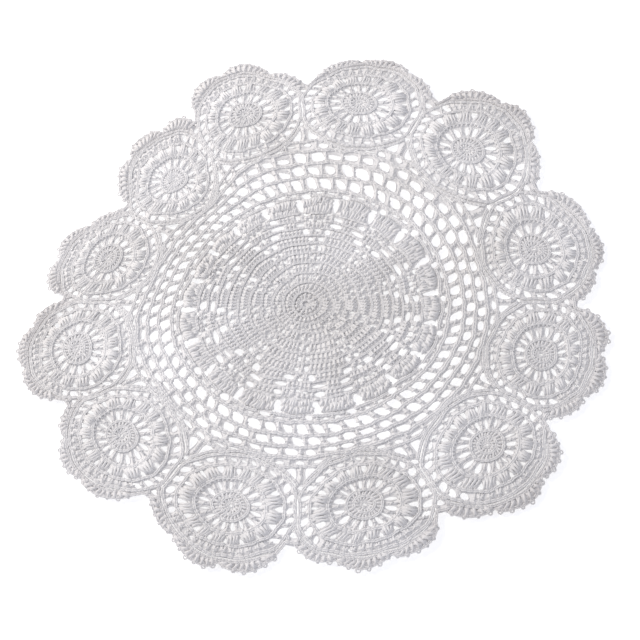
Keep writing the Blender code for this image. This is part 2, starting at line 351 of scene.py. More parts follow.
def closed_ovals(
    middle: np.ndarray, half: np.ndarray, lean: float, points: int, squareness: float
) -> np.ndarray:
    """Draws a rounded loop about each middle.

    Args:
        middle: direction and radius of each loop's middle.
        half: half its width and half its height, in the same units.
        lean: how far its outer edge is turned beyond its inner edge.
        points: how many points a loop has.
        squareness: 1 for an oval and towards 0 for a square.

    Returns:
        The loops' points, with the loop in the first axis.
    """
    turn = np.linspace(0.0, 2.0 * math.pi, points, endpoint=False) + math.pi / points
    across = np.sign(np.cos(turn)) * np.abs(np.cos(turn)) ** squareness
    outward = np.sign(np.sin(turn)) * np.abs(np.sin(turn)) ** squareness
    x = middle[:, None, 0] + half[:, None, 0] * across + lean * outward / 2.0
    y = middle[:, None, 1] + half[:, None, 1] * outward
    return np.stack([x, y], axis=-1)


def rounded(corners: np.ndarray, steps: int = 3) -> np.ndarray:
    """Rounds closed outlines off, by a quadratic curve at each corner.

    Args:
        corners: the outlines, with the outline in the first axis.
        steps: points for each corner.

    Returns:
        The rounded outlines.
    """
    before = (np.roll(corners, 1, axis=1) + corners) / 2.0
    after = (np.roll(corners, -1, axis=1) + corners) / 2.0
    share = np.linspace(0.0, 1.0, steps, endpoint=False)[:, None]
    parts = (
        before[:, :, None] * (1.0 - share) ** 2
        + corners[:, :, None] * 2.0 * share * (1.0 - share)
        + after[:, :, None] * share**2
    )
    return parts.reshape(len(corners), -1, corners.shape[-1])


def grown(loops: np.ndarray, by: float) -> np.ndarray:
    """Widens closed loops.

    Args:
        loops: the loops in mm, with the loop in the first axis.
        by: how far their points move from their middles, in mm.

    Returns:
        The wider loops.
    """
    smallest = 0.3
    middle = loops.mean(axis=1, keepdims=True)
    arm = loops - middle
    reach = np.linalg.norm(arm, axis=-1, keepdims=True)
    return middle + arm * (1.0 + by / np.maximum(reach, smallest))


def linear(hex_colour: str) -> tuple[float, float, float, float]:
    """Turns an sRGB hex colour into linear light.

    Args:
        hex_colour: the colour, as #rrggbb.

    Returns:
        Its red, green, blue and full alpha.
    """
    shares = [int(hex_colour[i : i + 2], 16) / 255.0 for i in (1, 3, 5)]
    lit = [s / 12.92 if s <= 0.04045 else ((s + 0.055) / 1.055) ** 2.4 for s in shares]
    return (lit[0], lit[1], lit[2], 1.0)


def add_node(
    material: bpy.types.Material, kind: str, inputs: dict[str | int, object], **settings: object
) -> bpy.types.Node:
    """Adds a shader node with its settings, values and links.

    Args:
        material: the material that gets it.
        kind: the node's type.
        inputs: a value or an output socket for each input, by its name or number.
        **settings: the node's own settings.

    Returns:
        The node.
    """
    node = material.node_tree.nodes.new(kind)
    for name, value in settings.items():
        setattr(node, name, value)
    for key, value in inputs.items():
        if isinstance(value, bpy.types.NodeSocket):
            material.node_tree.links.new(value, node.inputs[key])
        else:
            node.inputs[key].default_value = value
    return node


@dataclass(frozen=True)
class CottonYarn:
    """Plied, softly bleached cotton.

    To the eye it is dull, a little hairy and a soft white with greyer places, and a strand
    shows the twist of its plies.
    """

    name: str
    white: str
    grey: str
    roughness: float = 0.85
    sheen: float = 0.25
    sheen_roughness: float = 0.6
    specular: float = 0.3
    plies: int = 4
    ply_strength: float = 0.25
    ply_mm: float = 0.15
    fibre_strength: float = 0.35
    fibre_depth_mm: float = 0.12
    fibre_mm: float = 0.25
    blotch_mm: float = 70.0
    blotch_from: float = 0.35
    blotch_full: float = 0.7

    def make(self) -> bpy.types.Material:
        """Makes the material.

        Returns:
            The material. Its blotches and fibres lie in the piece's own space, and its plies
            follow the strands' own map.
        """
        material = bpy.data.materials.new(self.name)
        material.use_nodes = True
        shader = material.node_tree.nodes["Principled BSDF"]
        shader.inputs["Roughness"].default_value = self.roughness
        shader.inputs["Sheen Weight"].default_value = self.sheen
        shader.inputs["Sheen Roughness"].default_value = self.sheen_roughness
        shader.inputs["Specular IOR Level"].default_value = self.specular
        place = add_node(material, "ShaderNodeTexCoord", {})
        blotch = add_node(
            material, "ShaderNodeTexNoise",
            {"Vector": place.outputs["Object"], "Scale": 1.0 / (self.blotch_mm * MM), "Detail": 3.0},
        )
        ramp = add_node(
            material, "ShaderNodeMapRange",
            {
                "Value": blotch.outputs["Fac"],
                "From Min": self.blotch_from, "From Max": self.blotch_full,
            },
        )
        colour = add_node(
            material, "ShaderNodeMix", {"Factor": ramp.outputs["Result"]}, data_type="RGBA"
        )
        first, second = [socket for socket in colour.inputs if socket.type == "RGBA"]
        first.default_value = linear(self.white)
        second.default_value = linear(self.grey)
        mixed = [socket for socket in colour.outputs if socket.type == "RGBA"][0]
        material.node_tree.links.new(mixed, shader.inputs["Base Color"])
        along = add_node(material, "ShaderNodeSeparateXYZ", {"Vector": place.outputs["UV"]})
        turns = add_node(
            material, "ShaderNodeMath",
            {0: along.outputs["Y"], 1: float(self.plies), 2: along.outputs["X"]},
            operation="MULTIPLY_ADD",
        )
        phase = add_node(
            material, "ShaderNodeMath", {0: turns.outputs[0], 1: 2.0 * math.pi}, operation="MULTIPLY"
        )
        ply = add_node(material, "ShaderNodeMath", {0: phase.outputs[0]}, operation="SINE")
        fibre = add_node(
            material, "ShaderNodeTexNoise",
            {"Vector": place.outputs["Object"], "Scale": 1.0 / (self.fibre_mm * MM), "Detail": 2.0},
        )
        twist = add_node(
            material, "ShaderNodeBump",
            {
                "Height": ply.outputs[0],
                "Strength": self.ply_strength, "Distance": self.ply_mm * MM,
            },
        )
        fuzz = add_node(
            material, "ShaderNodeBump",
            {
                "Height": fibre.outputs["Fac"], "Normal": twist.outputs["Normal"],
                "Strength": self.fibre_strength, "Distance": self.fibre_depth_mm * MM,
            },
        )
        material.node_tree.links.new(fuzz.outputs["Normal"], shader.inputs["Normal"])
        return material


@dataclass
class Yarn:
    """Gathers the strands of one piece and makes them one mesh.

    Stitches stand on the lie of the cloth, at heights in mm.
    """

    name: str
    plan: Plan
    rng: np.random.Generator
    sides: int = 5
    twist_mm: float = 3.0
    post_stray: float = 0.12
    link_stray: float = 0.10
    uneven: float = 0.10
    leg_shares: tuple[float, ...] = (-0.06, 0.5, 1.06)
    leg_height: float = 1.25
    leg_crossing: float = 0.32
    wrap_share: float = 0.85
    rim_wave: float = 0.2
    rim_waves: float = 3.0
    picot_length: float = 1.0
    picot_width: float = 1.05
    picot_stand: float = 0.4
    picot_height: float = 1.4
    picot_slope: float = 0.25
    picot_sizes: tuple[float, float] = (0.55, 1.3)
    points: list[np.ndarray] = field(default_factory=list)
    quads: list[np.ndarray] = field(default_factory=list)
    caps: list[np.ndarray] = field(default_factory=list)
    quad_uvs: list[np.ndarray] = field(default_factory=list)
    cap_uvs: list[np.ndarray] = field(default_factory=list)
    count: int = 0

    def add(self, paths: np.ndarray, radius: float | np.ndarray, closed: bool = False) -> None:
        """Adds strands of yarn.

        Args:
            paths: the strands' centrelines in mm, each with the same number of points.
            radius: the yarn's radius in mm, or one for each point of a path.
            closed: whether each strand joins up with its own start.
        """
        many, steps = paths.shape[:2]
        if many == 0:
            return
        if closed:
            tangent = np.roll(paths, -1, axis=1) - np.roll(paths, 1, axis=1)
        else:
            tangent = np.gradient(paths, axis=1)
        tangent = unit(tangent)
        side = np.concatenate([sideways(tangent), np.zeros((many, steps, 1))], axis=-1)
        normal = np.cross(tangent, side)
        turn = 2.0 * math.pi * np.arange(self.sides) / self.sides + math.pi / 2.0
        reach = np.broadcast_to(np.asarray(radius, float), (many, steps))[..., None, None]
        ring = np.cos(turn)[:, None] * side[:, :, None] + np.sin(turn)[:, None] * normal[:, :, None]
        made = paths[:, :, None] + reach * ring
        start = self.count + np.arange(many)[:, None, None] * steps * self.sides
        spans = steps if closed else steps - 1
        row = np.arange(spans)[None, :, None]
        column = np.arange(self.sides)[None, None, :]
        next_row, next_column = (row + 1) % steps, (column + 1) % self.sides
        corner = [
            start + row * self.sides + column,
            start + row * self.sides + next_column,
            start + next_row * self.sides + next_column,
            start + next_row * self.sides + column,
        ]
        self.quads.append(np.stack(corner, axis=-1).reshape(-1, 4))
        step = np.linalg.norm(np.roll(paths, -1, axis=1) - paths, axis=-1)
        length = np.concatenate([np.zeros((many, 1)), np.cumsum(step, axis=1)], axis=1)
        length = length / self.twist_mm + self.rng.random((many, 1))
        one, two = length[:, :spans, None], length[:, 1 : spans + 1, None]
        round_one = np.broadcast_to(column / self.sides, (many, spans, self.sides))
        round_two = round_one + 1.0 / self.sides
        one, two = np.broadcast_to(one, round_one.shape), np.broadcast_to(two, round_one.shape)
        uv = np.stack([one, round_one, one, round_two, two, round_two, two, round_one], axis=-1)
        self.quad_uvs.append(uv.reshape(-1, 2))
        if not closed:
            ends = start[:, 0, 0][:, None]
            around = np.arange(self.sides)[None]
            self.caps.append(ends + around[:, ::-1])
            self.caps.append(ends + (steps - 1) * self.sides + around)
            self.cap_uvs.append(np.zeros((2 * many * self.sides, 2)))
        self.points.append(made.reshape(-1, 3))
        self.count += made.size // 3

    def raised(self, flat: np.ndarray, height: np.ndarray) -> np.ndarray:
        """Gives places in mm their height above the lie of the cloth."""
        height = np.broadcast_to(height, flat.shape[:-1])
        return np.concatenate([flat, (self.plan.lift(flat) + height)[..., None]], axis=-1)

    def loosened(self, flat: np.ndarray, by: float) -> np.ndarray:
        """Moves places by a random length about as long as given, in mm."""
        return flat + self.rng.normal(0.0, by, flat.shape)

    def posts(
        self, feet: np.ndarray, heads: np.ndarray, width: float = 2.3,
        rise: float | np.ndarray = 0.0, slope: float = 0.0, wrapped: bool = True,
    ) -> None:
        """Adds double crochets: two legs that cross, and the yarn wrapped round them.

        Args:
            feet: where each stands, as places on the plan.
            heads: where each ends.
            width: how wide it is, in mm.
            rise: how far each stands above its neighbours, in mm.
            slope: how much higher its head is than its foot, in mm.
            wrapped: whether the yarn wrapped round its legs is seen.
        """
        if len(feet) == 0:
            return
        rise = np.broadcast_to(np.asarray(rise, float), (len(feet),))[:, None]
        start = self.loosened(self.plan.lay_out(feet), self.post_stray)
        end = self.loosened(self.plan.lay_out(heads), self.post_stray)
        along = (end - start)[:, None]
        across = sideways(along)
        radius = width / (4.0 if wrapped else 3.4)
        jitter = self.rng.normal(0.0, self.uneven, (len(feet), 1))
        share = np.array(self.leg_shares)
        for sign in (1.0, -1.0):
            swing = sign * np.cos(math.pi * share) * width / 4.0
            crossing = sign * self.leg_crossing * np.sin(math.pi * share)
            height = self.leg_height + rise + crossing + jitter
            height = height + slope * (share - 0.5)
            flat = start[:, None] + along * share[:, None] + across * swing[:, None]
            self.add(self.raised(flat, height), radius)
        if not wrapped:
            return
        share, swing, height = WRAP.T
        flat = start[:, None] + along * share[:, None] + across * (swing * width)[:, None]
        self.add(self.raised(flat, height + rise + jitter), radius * self.wrap_share)

    def links(
        self, places: np.ndarray, closed: bool, width: float = 2.4, rise: float = 0.0,
        keep: np.ndarray | None = None,
    ) -> None:
        """Adds a chain of V-shaped links, as along the tops of stitches.

        Args:
            places: the chain's places on the plan, one to a link, in order.
            closed: whether it joins up with its own start.
            width: how wide it is, in mm.
            rise: how far it stands above its neighbours, in mm.
            keep: which places the chain really passes, or None for all.
        """
        if len(places) < 2:
            return
        flat = self.loosened(self.plan.lay_out(places), self.link_stray)
        start = flat if closed else flat[:-1]
        end = np.roll(flat, -1, axis=0) if closed else flat[1:]
        if keep is not None:
            passed = (keep & np.roll(keep, -1))[: len(start)]
            start, end = start[passed], end[passed]
        along = (end - start)[:, None]
        across = sideways(along)
        radius = width / 4.0
        share, spread, height = LINK.T
        spread = spread * (width / 2.0 - radius)
        height = height + rise + self.rng.normal(0.0, self.uneven, (len(start), 1))
        for sign in (1.0, -1.0):
            line = start[:, None] + along * share[:, None] + across * (sign * spread)[:, None]
            self.add(self.raised(line, height), radius)

    def rims(self, loops: np.ndarray, radius: float = 0.5, height: float = 1.1) -> None:
        """Adds the strand round each hole.

        Args:
            loops: the holes' edges in mm, all with the same number of points.
            radius: the yarn's radius in mm.
            height: the strand's height in mm.
        """
        if len(loops) == 0:
            return
        outer = grown(loops, radius * 0.9)
        turn = np.arange(loops.shape[1]) * 2.0 * math.pi * self.rim_waves / loops.shape[1]
        wave = self.rim_wave * np.sin(turn + self.rng.random((len(loops), 1)) * 6.0)
        self.add(self.raised(outer, height + wave), radius, closed=True)

    def picots(self, roots: np.ndarray, tips: np.ndarray, radius: float = 0.5) -> None:
        """Adds small loops of chain that stand out from an edge.

        Args:
            roots: where each starts, as places on the plan.
            tips: a place on the plan that it points to.
            radius: the yarn's radius in mm.
        """
        start = self.plan.lay_out(roots)
        out = unit(self.plan.lay_out(tips) - start)
        across = sideways(out)
        turn = np.linspace(0.0, 2.0 * math.pi, 8, endpoint=False)
        size = self.rng.uniform(*self.picot_sizes, (len(start), 1, 1))
        outward = self.picot_stand - self.picot_length * np.cos(turn)
        aside = self.picot_width * np.sin(turn)
        flat = (
            start[:, None]
            + out[:, None] * outward[:, None] * size
            + across[:, None] * aside[:, None] * size
        )
        height = self.picot_height + self.picot_slope * np.cos(turn)
        self.add(self.raised(flat, height), radius, closed=True)

    def finish(self, material: bpy.types.Material, slot: Slot, node: str) -> bpy.types.Object:
        """Makes the mesh of all the strands, and ties it to the CAD.

        Args:
            material: the yarn's material.
            slot: not used.
            node: the CAD node that it replaces.

        Returns:
            The finished piece.
        """
        quads = np.concatenate(self.quads)
        caps = np.concatenate(self.caps) if self.caps else np.zeros((0, self.sides), int)
        corners = np.concatenate([quads.ravel(), caps.ravel()])
        starts = np.concatenate(
            [np.arange(len(quads)) * 4, quads.size + np.arange(len(caps)) * self.sides]
        )
        uvs = np.concatenate(self.quad_uvs + self.cap_uvs)
        mesh = new_mesh(self.name, np.concatenate(self.points), corners, starts)
        mesh.uv_layers.new(name="along_yarn").uv.foreach_set("vector", uvs.astype(np.float32).ravel())
        return tie(self.name, mesh, material, node)


def new_mesh(
    name: str, points: np.ndarray, corners: np.ndarray, starts: np.ndarray
) -> bpy.types.Mesh:
    """Makes a smooth mesh from arrays.

    Args:
        name: the mesh's name.
        points: its points in mm.
        corners: the points of all its faces, one face after the other.
        starts: where each face starts in corners.

    Returns:
        The mesh.
    """
    mesh = bpy.data.meshes.new(name)
    mesh.vertices.add(len(points))
    mesh.vertices.foreach_set("co", (points * MM).astype(np.float32).ravel())
    mesh.loops.add(len(corners))
    mesh.loops.foreach_set("vertex_index", corners.astype(np.int32))
    mesh.polygons.add(len(starts))
    mesh.polygons.foreach_set("loop_start", starts.astype(np.int32))
    mesh.update(calc_edges=True)
    mesh.shade_smooth()
    return mesh


def tie(
    name: str, mesh: bpy.types.Mesh, material: bpy.types.Material, node: str
) -> bpy.types.Object:
    """Makes a mesh a piece of the mat, in place of a CAD node.

    Args:
        name: the piece's name.
        mesh: its mesh.
        material: its material.
        node: the CAD node that it replaces.

    Returns:
        The piece.
    """
    mesh.materials.append(material)
    piece = bpy.data.objects.new(name, mesh)
    bpy.context.scene.collection.objects.link(piece)
    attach(piece, BODY)
    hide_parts(node)
    triangles = len(mesh.loops) - 2 * len(mesh.polygons)
    log.info("%s: %d points, %d triangles", name, len(mesh.vertices), triangles)
    return piece


@dataclass
class Cloth:
    """The thin cloth of one piece, with its holes, that the yarn is worked through.

    Its underside and top stand low and high above its lie, in mm.
    """

    name: str
    plan: Plan
    low: float = 0.5
    high: float = 1.35

    def finish(
        self, outline: np.ndarray, holes: list[np.ndarray], inside: np.ndarray,
        material: bpy.types.Material, slot: Slot, node: str,
    ) -> tuple[bpy.types.Object, float]:
        """Makes the cloth and ties it to the CAD.

        Args:
            outline: its outer edge in mm.
            holes: the edges of its holes in mm.
            inside: more places on it, for its lie.
            material: its material.
            slot: not used.
            node: the CAD node that it replaces.

        Returns:
            The piece, and its area in square metres.
        """
        loops = [outline, *holes]
        starts = np.cumsum([0] + [len(loop) for loop in loops])
        numbered = [list(range(starts[i], starts[i + 1])) for i in range(len(loops))]
        flat = np.concatenate([*loops, inside])
        found = delaunay_2d_cdt(
            [Vector(place) for place in flat], [], numbered, HOLES_LEFT_OPEN, CLOSE
        )
        places = np.array([tuple(place) for place in found[0]])
        triangles = np.array(found[2])
        a, b, c = (places[triangles[:, i]] for i in range(3))
        turned = (b[:, 0] - a[:, 0]) * (c[:, 1] - a[:, 1]) - (b[:, 1] - a[:, 1]) * (c[:, 0] - a[:, 0])
        triangles[turned < 0.0] = triangles[turned < 0.0][:, ::-1]
        ends = np.concatenate([triangles[:, [0, 1]], triangles[:, [1, 2]], triangles[:, [2, 0]]])
        shared = {(one, two) for one, two in ends.tolist()}
        border = np.array([(one, two) for one, two in ends.tolist() if (two, one) not in shared])
        lift = self.plan.lift(places)[:, None]
        top = np.concatenate([places, lift + self.high], axis=1)
        base = np.concatenate([places, lift + self.low], axis=1)
        many = len(places)
        walls = np.stack(
            [border[:, 1], border[:, 0], border[:, 0] + many, border[:, 1] + many], axis=1
        )
        corners = np.concatenate(
            [triangles.ravel(), (triangles[:, ::-1] + many).ravel(), walls.ravel()]
        )
        sheets = 2 * len(triangles)
        face_starts = np.concatenate(
            [np.arange(sheets) * 3, sheets * 3 + np.arange(len(walls)) * 4]
        )
        mesh = new_mesh(self.name, np.concatenate([top, base]), corners, face_starts)
        area = float(np.abs(turned).sum() / 2.0) * MM * MM
        return tie(self.name, mesh, material, node), area


@dataclass(frozen=True)
class SmallGap:
    """A small hole of a repeat: its place from the repeat's middle, and half its size."""

    away: float
    radius: float
    half_width: float
    half_height: float


@dataclass(frozen=True)
class NetRound:
    """One round of the net: its holes' inner and outer edge, turn and lean in degrees."""

    inner: float
    outer: float
    turn: float
    lean: float


def repeated(
    gaps: tuple[SmallGap, ...], middles: np.ndarray, rng: np.random.Generator, loose: float
) -> np.ndarray:
    """Repeats small holes round the mat, no two quite alike.

    Args:
        gaps: the holes of one repeat.
        middles: the direction of each repeat's middle.
        rng: the source of their differences.
        loose: how much they differ in size, as a share.

    Returns:
        Direction, radius, half width and half height of each.
    """
    rows = np.array([(gap.away, gap.radius, gap.half_width, gap.half_height) for gap in gaps])
    found = np.repeat(rows[None], len(middles), axis=0)
    found[:, :, 0] += middles[:, None] + rng.normal(0.0, SLOT_STRAY[0], found.shape[:2])
    found[:, :, 1] += rng.normal(0.0, SLOT_STRAY[1], found.shape[:2])
    found[:, :, 2:] *= np.clip(rng.normal(1.0, loose, found[:, :, 2:].shape), *SLOT_SIZES)
    return found.reshape(-1, 4)


def mirrored(gaps: tuple[SmallGap, ...]) -> tuple[SmallGap, ...]:
    """Returns the holes with those on the other side of the repeat's middle."""
    other = [SmallGap(-gap.away, gap.radius, gap.half_width, gap.half_height) for gap in gaps]
    return (*gaps, *other)


def slots(gaps: np.ndarray, lean: float, rng: np.random.Generator) -> np.ndarray:
    """Draws the uneven edges of small holes.

    Args:
        gaps: direction, radius, half width and half height of each hole.
        lean: how far its outer edge is turned beyond its inner edge, in degrees.
        rng: the source of their unevenness.

    Returns:
        The holes' edges, as places on the plan.
    """
    loops = closed_ovals(gaps[:, :2], gaps[:, 2:], lean, SLOT_POINTS, 0.85)
    return loops + rng.normal(0.0, 1.0, loops.shape) * SLOT_ROUGH


def in_gap(places: np.ndarray, gaps: np.ndarray) -> np.ndarray:
    """Tells which places on the plan lie in any of the small holes.

    Args:
        places: the places.
        gaps: direction, radius, half width and half height of each hole.

    Returns:
        A truth value for each place.
    """
    across = np.abs(about_zero(places[:, None, 0] - gaps[None, :, 0])) / gaps[None, :, 2]
    outward = (places[:, None, 1] - gaps[None, :, 1]) / gaps[None, :, 3]
    return (np.hypot(across, outward) < 1.0).any(axis=1)


@dataclass
class Star:
    """The star of ten petals, worked in solid rounds, and the twenty fans about it.

    In these classes, sizes that end in mm are in mm, turns and spreads are in degrees, and
    radii and the other sizes are shares of the rim.
    """

    plan: Plan
    rng: np.random.Generator
    petals: int = 10
    fans: int = 20
    stitch_mm: float = 2.6
    step_mm: float = -0.40
    # A post is cut short within these shares of a stitch or of a hole's half width
    cut_stitch: float = 0.45
    cut_hole: float = 0.85
    beside_hole_mm: float = 1.1
    post_mm: float = 2.7
    short_post_mm: float = 2.5
    shortest_post: float = 0.011
    above_foot: float = 0.001
    below_chain: float = 0.003
    above_hole: float = 0.004
    chain_mm: float = 1.7
    chain_rise_mm: float = 0.2
    fewest_links: int = 7
    rounds: tuple[float, ...] = (
        0.020, 0.060, 0.108, 0.158, 0.210, 0.262, 0.313, 0.361, 0.402, 0.442, 0.482
    )
    # The holes beside each valley between petals, on one side of it
    beside: tuple[SmallGap, ...] = (
        SmallGap(4.5, 0.136, 1.6, 0.0055),
        SmallGap(4.3, 0.186, 1.6, 0.0075),
        SmallGap(3.7, 0.237, 1.5, 0.0090),
        SmallGap(3.6, 0.288, 1.5, 0.0110),
        SmallGap(3.9, 0.338, 1.9, 0.0115),
        SmallGap(7.4, 0.382, 2.9, 0.0130),
        SmallGap(11.0, 0.4215, 3.4, 0.0095),
        SmallGap(11.2, 0.461, 2.5, 0.0115),
        SmallGap(4.0, 0.447, 1.3, 0.0080),
        SmallGap(6.0, 0.4815, 1.3, 0.0065),
    )
    # Those in the valley's own line
    on_valley: tuple[SmallGap, ...] = (
        SmallGap(0.0, 0.394, 1.6, 0.0110),
        SmallGap(-0.5, 0.446, 1.4, 0.0085),
    )
    # Those about each gap between two fans
    about_fan_gap: tuple[SmallGap, ...] = (
        SmallGap(-4.0, 0.563, 1.8, 0.0125),
        SmallGap(2.2, 0.576, 1.3, 0.0070),
        SmallGap(8.0, 0.575, 1.4, 0.0085),
        SmallGap(9.0, 0.526, 1.7, 0.0045),
    )
    gap_lean: float = 0.5
    gap_uneven: float = 0.16
    about_fan_uneven: float = 0.18
    first_fan_gap: float = 9.9
    fan_posts: int = 9
    fan_foot: float = 0.486
    fan_top: float = 0.548
    fan_round: float = 0.010
    foot_spread: float = 5.6
    top_spread: float = 6.9
    half_stray: tuple[float, float] = (0.45, 0.006)
    half_turn: float = 0.6
    fan_puff_mm: float = 0.2
    fan_uneven_mm: float = 0.16
    lower_post_mm: float = 2.8
    upper_post_mm: float = 3.0
    crest: float = 0.555
    crest_swell: float = 0.005
    crest_links: int = 16
    crest_mm: float = 2.4
    # The posts that hang the net on a fan: turns from its gap, and where they start
    hangers: tuple[float, ...] = (-1.0, 5.0, 11.3)
    hanger_foot: float = 0.557
    hanger_arm: tuple[float, float] = (0.8, 0.027)
    hanger_mm: float = 2.3
    # The outline of the gap between two fans
    fan_gap: tuple[tuple[float, float], ...] = (
        (0.9, 0.490), (1.7, 0.520), (2.6, 0.548), (-1.9, 0.553), (-1.6, 0.522), (-1.0, 0.490)
    )
    fan_gap_uneven: float = 0.12
    fan_gap_stray: tuple[float, float] = (0.2, 0.002)
    gaps: np.ndarray = field(init=False)

    def __post_init__(self) -> None:
        """Places the small holes."""
        valleys = self.plan.first_valley + all_round(self.petals)
        star = repeated(mirrored(self.beside) + self.on_valley, valleys, self.rng, self.gap_uneven)
        middles = self.fan_gap_middles()
        fans = repeated(self.about_fan_gap, middles, self.rng, self.about_fan_uneven)
        self.gaps = np.concatenate([star, fans])

    def fan_gap_middles(self) -> np.ndarray:
        """Returns the directions of the gaps between the fans."""
        return self.first_fan_gap + all_round(self.fans)

    def holes(self) -> dict[str, np.ndarray]:
        """Draws the star's holes.

        Returns:
            Their edges in mm, in groups of like loops.
        """
        small = slots(self.gaps, self.gap_lean, self.rng)
        large = np.repeat(np.array(self.fan_gap)[None], self.fans, axis=0)
        large[:, :, 0] *= self.rng.normal(1.0, self.fan_gap_uneven, (self.fans, 1))
        large += self.rng.normal(0.0, 1.0, large.shape) * self.fan_gap_stray
        large[:, :, 0] += self.fan_gap_middles()[:, None]
        return {
            "slots": self.plan.lay_out(small),
            "fans": self.plan.lay_out(rounded(large)),
        }

    def work_round(self, yarn: Yarn, inner: float, outer: float) -> None:
        """Works one round of posts, cut short where a hole lies over or under them.

        Args:
            yarn: what it is worked in.
            inner: the radius where the round starts.
            outer: the radius where it ends.
        """
        middle = (inner + outer) / 2.0
        count = round(2.0 * math.pi * middle * self.plan.rim / self.stitch_mm)
        degrees = (np.arange(count) + self.rng.random()) * 360.0 / count
        degree_mm = math.radians(middle * self.plan.rim)
        off = about_zero(degrees[:, None] - self.gaps[None, :, 0])
        level = (self.gaps[:, 1] > inner) & (self.gaps[:, 1] < outer)
        off = np.where(level, off, 360.0)
        nearest = np.abs(off).argmin(axis=1)
        hole, away = self.gaps[nearest], off[np.arange(count), nearest]
        least = np.maximum(self.cut_stitch * self.stitch_mm / degree_mm, self.cut_hole * hole[:, 2])
        clear = np.abs(away) > least
        beside = hole[:, 2] + self.beside_hole_mm / degree_mm
        pushed = np.where(clear & (np.abs(away) < beside), np.sign(away) * beside - away, 0.0)
        degrees = degrees + pushed
        top = np.where(clear, outer, hole[:, 1] - hole[:, 3]) - self.below_chain
        foot, head = at(degrees, inner + self.above_foot), at(degrees, top)
        tall = top - inner > self.shortest_post
        yarn.posts(foot[tall], head[tall], width=self.post_mm, slope=self.step_mm)
        over = hole[:, 1] + hole[:, 3] + self.above_hole
        foot, head = at(degrees, over), at(degrees, outer - self.below_chain)
        short = ~clear & (outer - over > self.shortest_post)
        yarn.posts(foot[short], head[short], width=self.short_post_mm, slope=self.step_mm)

    def work(self, yarn: Yarn) -> None:
        """Works the star's rounds: posts, and a chain along the top of each round.

        Args:
            yarn: what they are worked in.
        """
        for inner, outer in zip(self.rounds, self.rounds[1:]):
            self.work_round(yarn, inner, outer)
        for radius in self.rounds:
            stitches = round(2.0 * math.pi * radius * self.plan.rim / self.stitch_mm)
            ring = at(all_round(max(stitches, self.fewest_links)), radius)
            yarn.links(ring, True, self.chain_mm, self.chain_rise_mm, ~in_gap(ring, self.gaps))

    def work_fans(self, yarn: Yarn) -> None:
        """Works the ring of fans: spreading posts and a scalloped chain over them.

        Args:
            yarn: what they are worked in.
        """
        step = 360.0 / self.fans
        spread = np.linspace(-1.0, 1.0, self.fan_posts)
        along = np.linspace(-1.0, 1.0, self.crest_links)
        for middle in self.fan_gap_middles() - step / 2.0:
            foot = at(middle + spread * self.foot_spread, self.fan_foot)
            head = at(middle + spread * self.top_spread, self.fan_top - self.fan_round * spread**2)
            half = (foot + head) / 2.0
            half += self.rng.normal(0.0, 1.0, half.shape) * self.half_stray
            uneven = self.rng.normal(0.0, self.fan_uneven_mm, self.fan_posts)
            puffed = self.fan_puff_mm * (1.0 - spread**2) + uneven
            yarn.posts(foot, half, width=self.lower_post_mm, rise=-puffed / 2.0, wrapped=False)
            half = half + (self.half_turn, 0.0)
            yarn.posts(half, head, width=self.upper_post_mm, rise=puffed, wrapped=False)
            crest = at(middle + along * step / 2.0, self.crest + self.crest_swell * (1.0 - along**2))
            keep = ~in_gap(crest, self.gaps)
            yarn.links(crest, closed=False, width=self.crest_mm, keep=keep)
            for away in self.hangers:
                foot = np.array([[middle + step / 2.0 + away, self.hanger_foot]])
                yarn.posts(foot, foot + self.hanger_arm, width=self.hanger_mm)


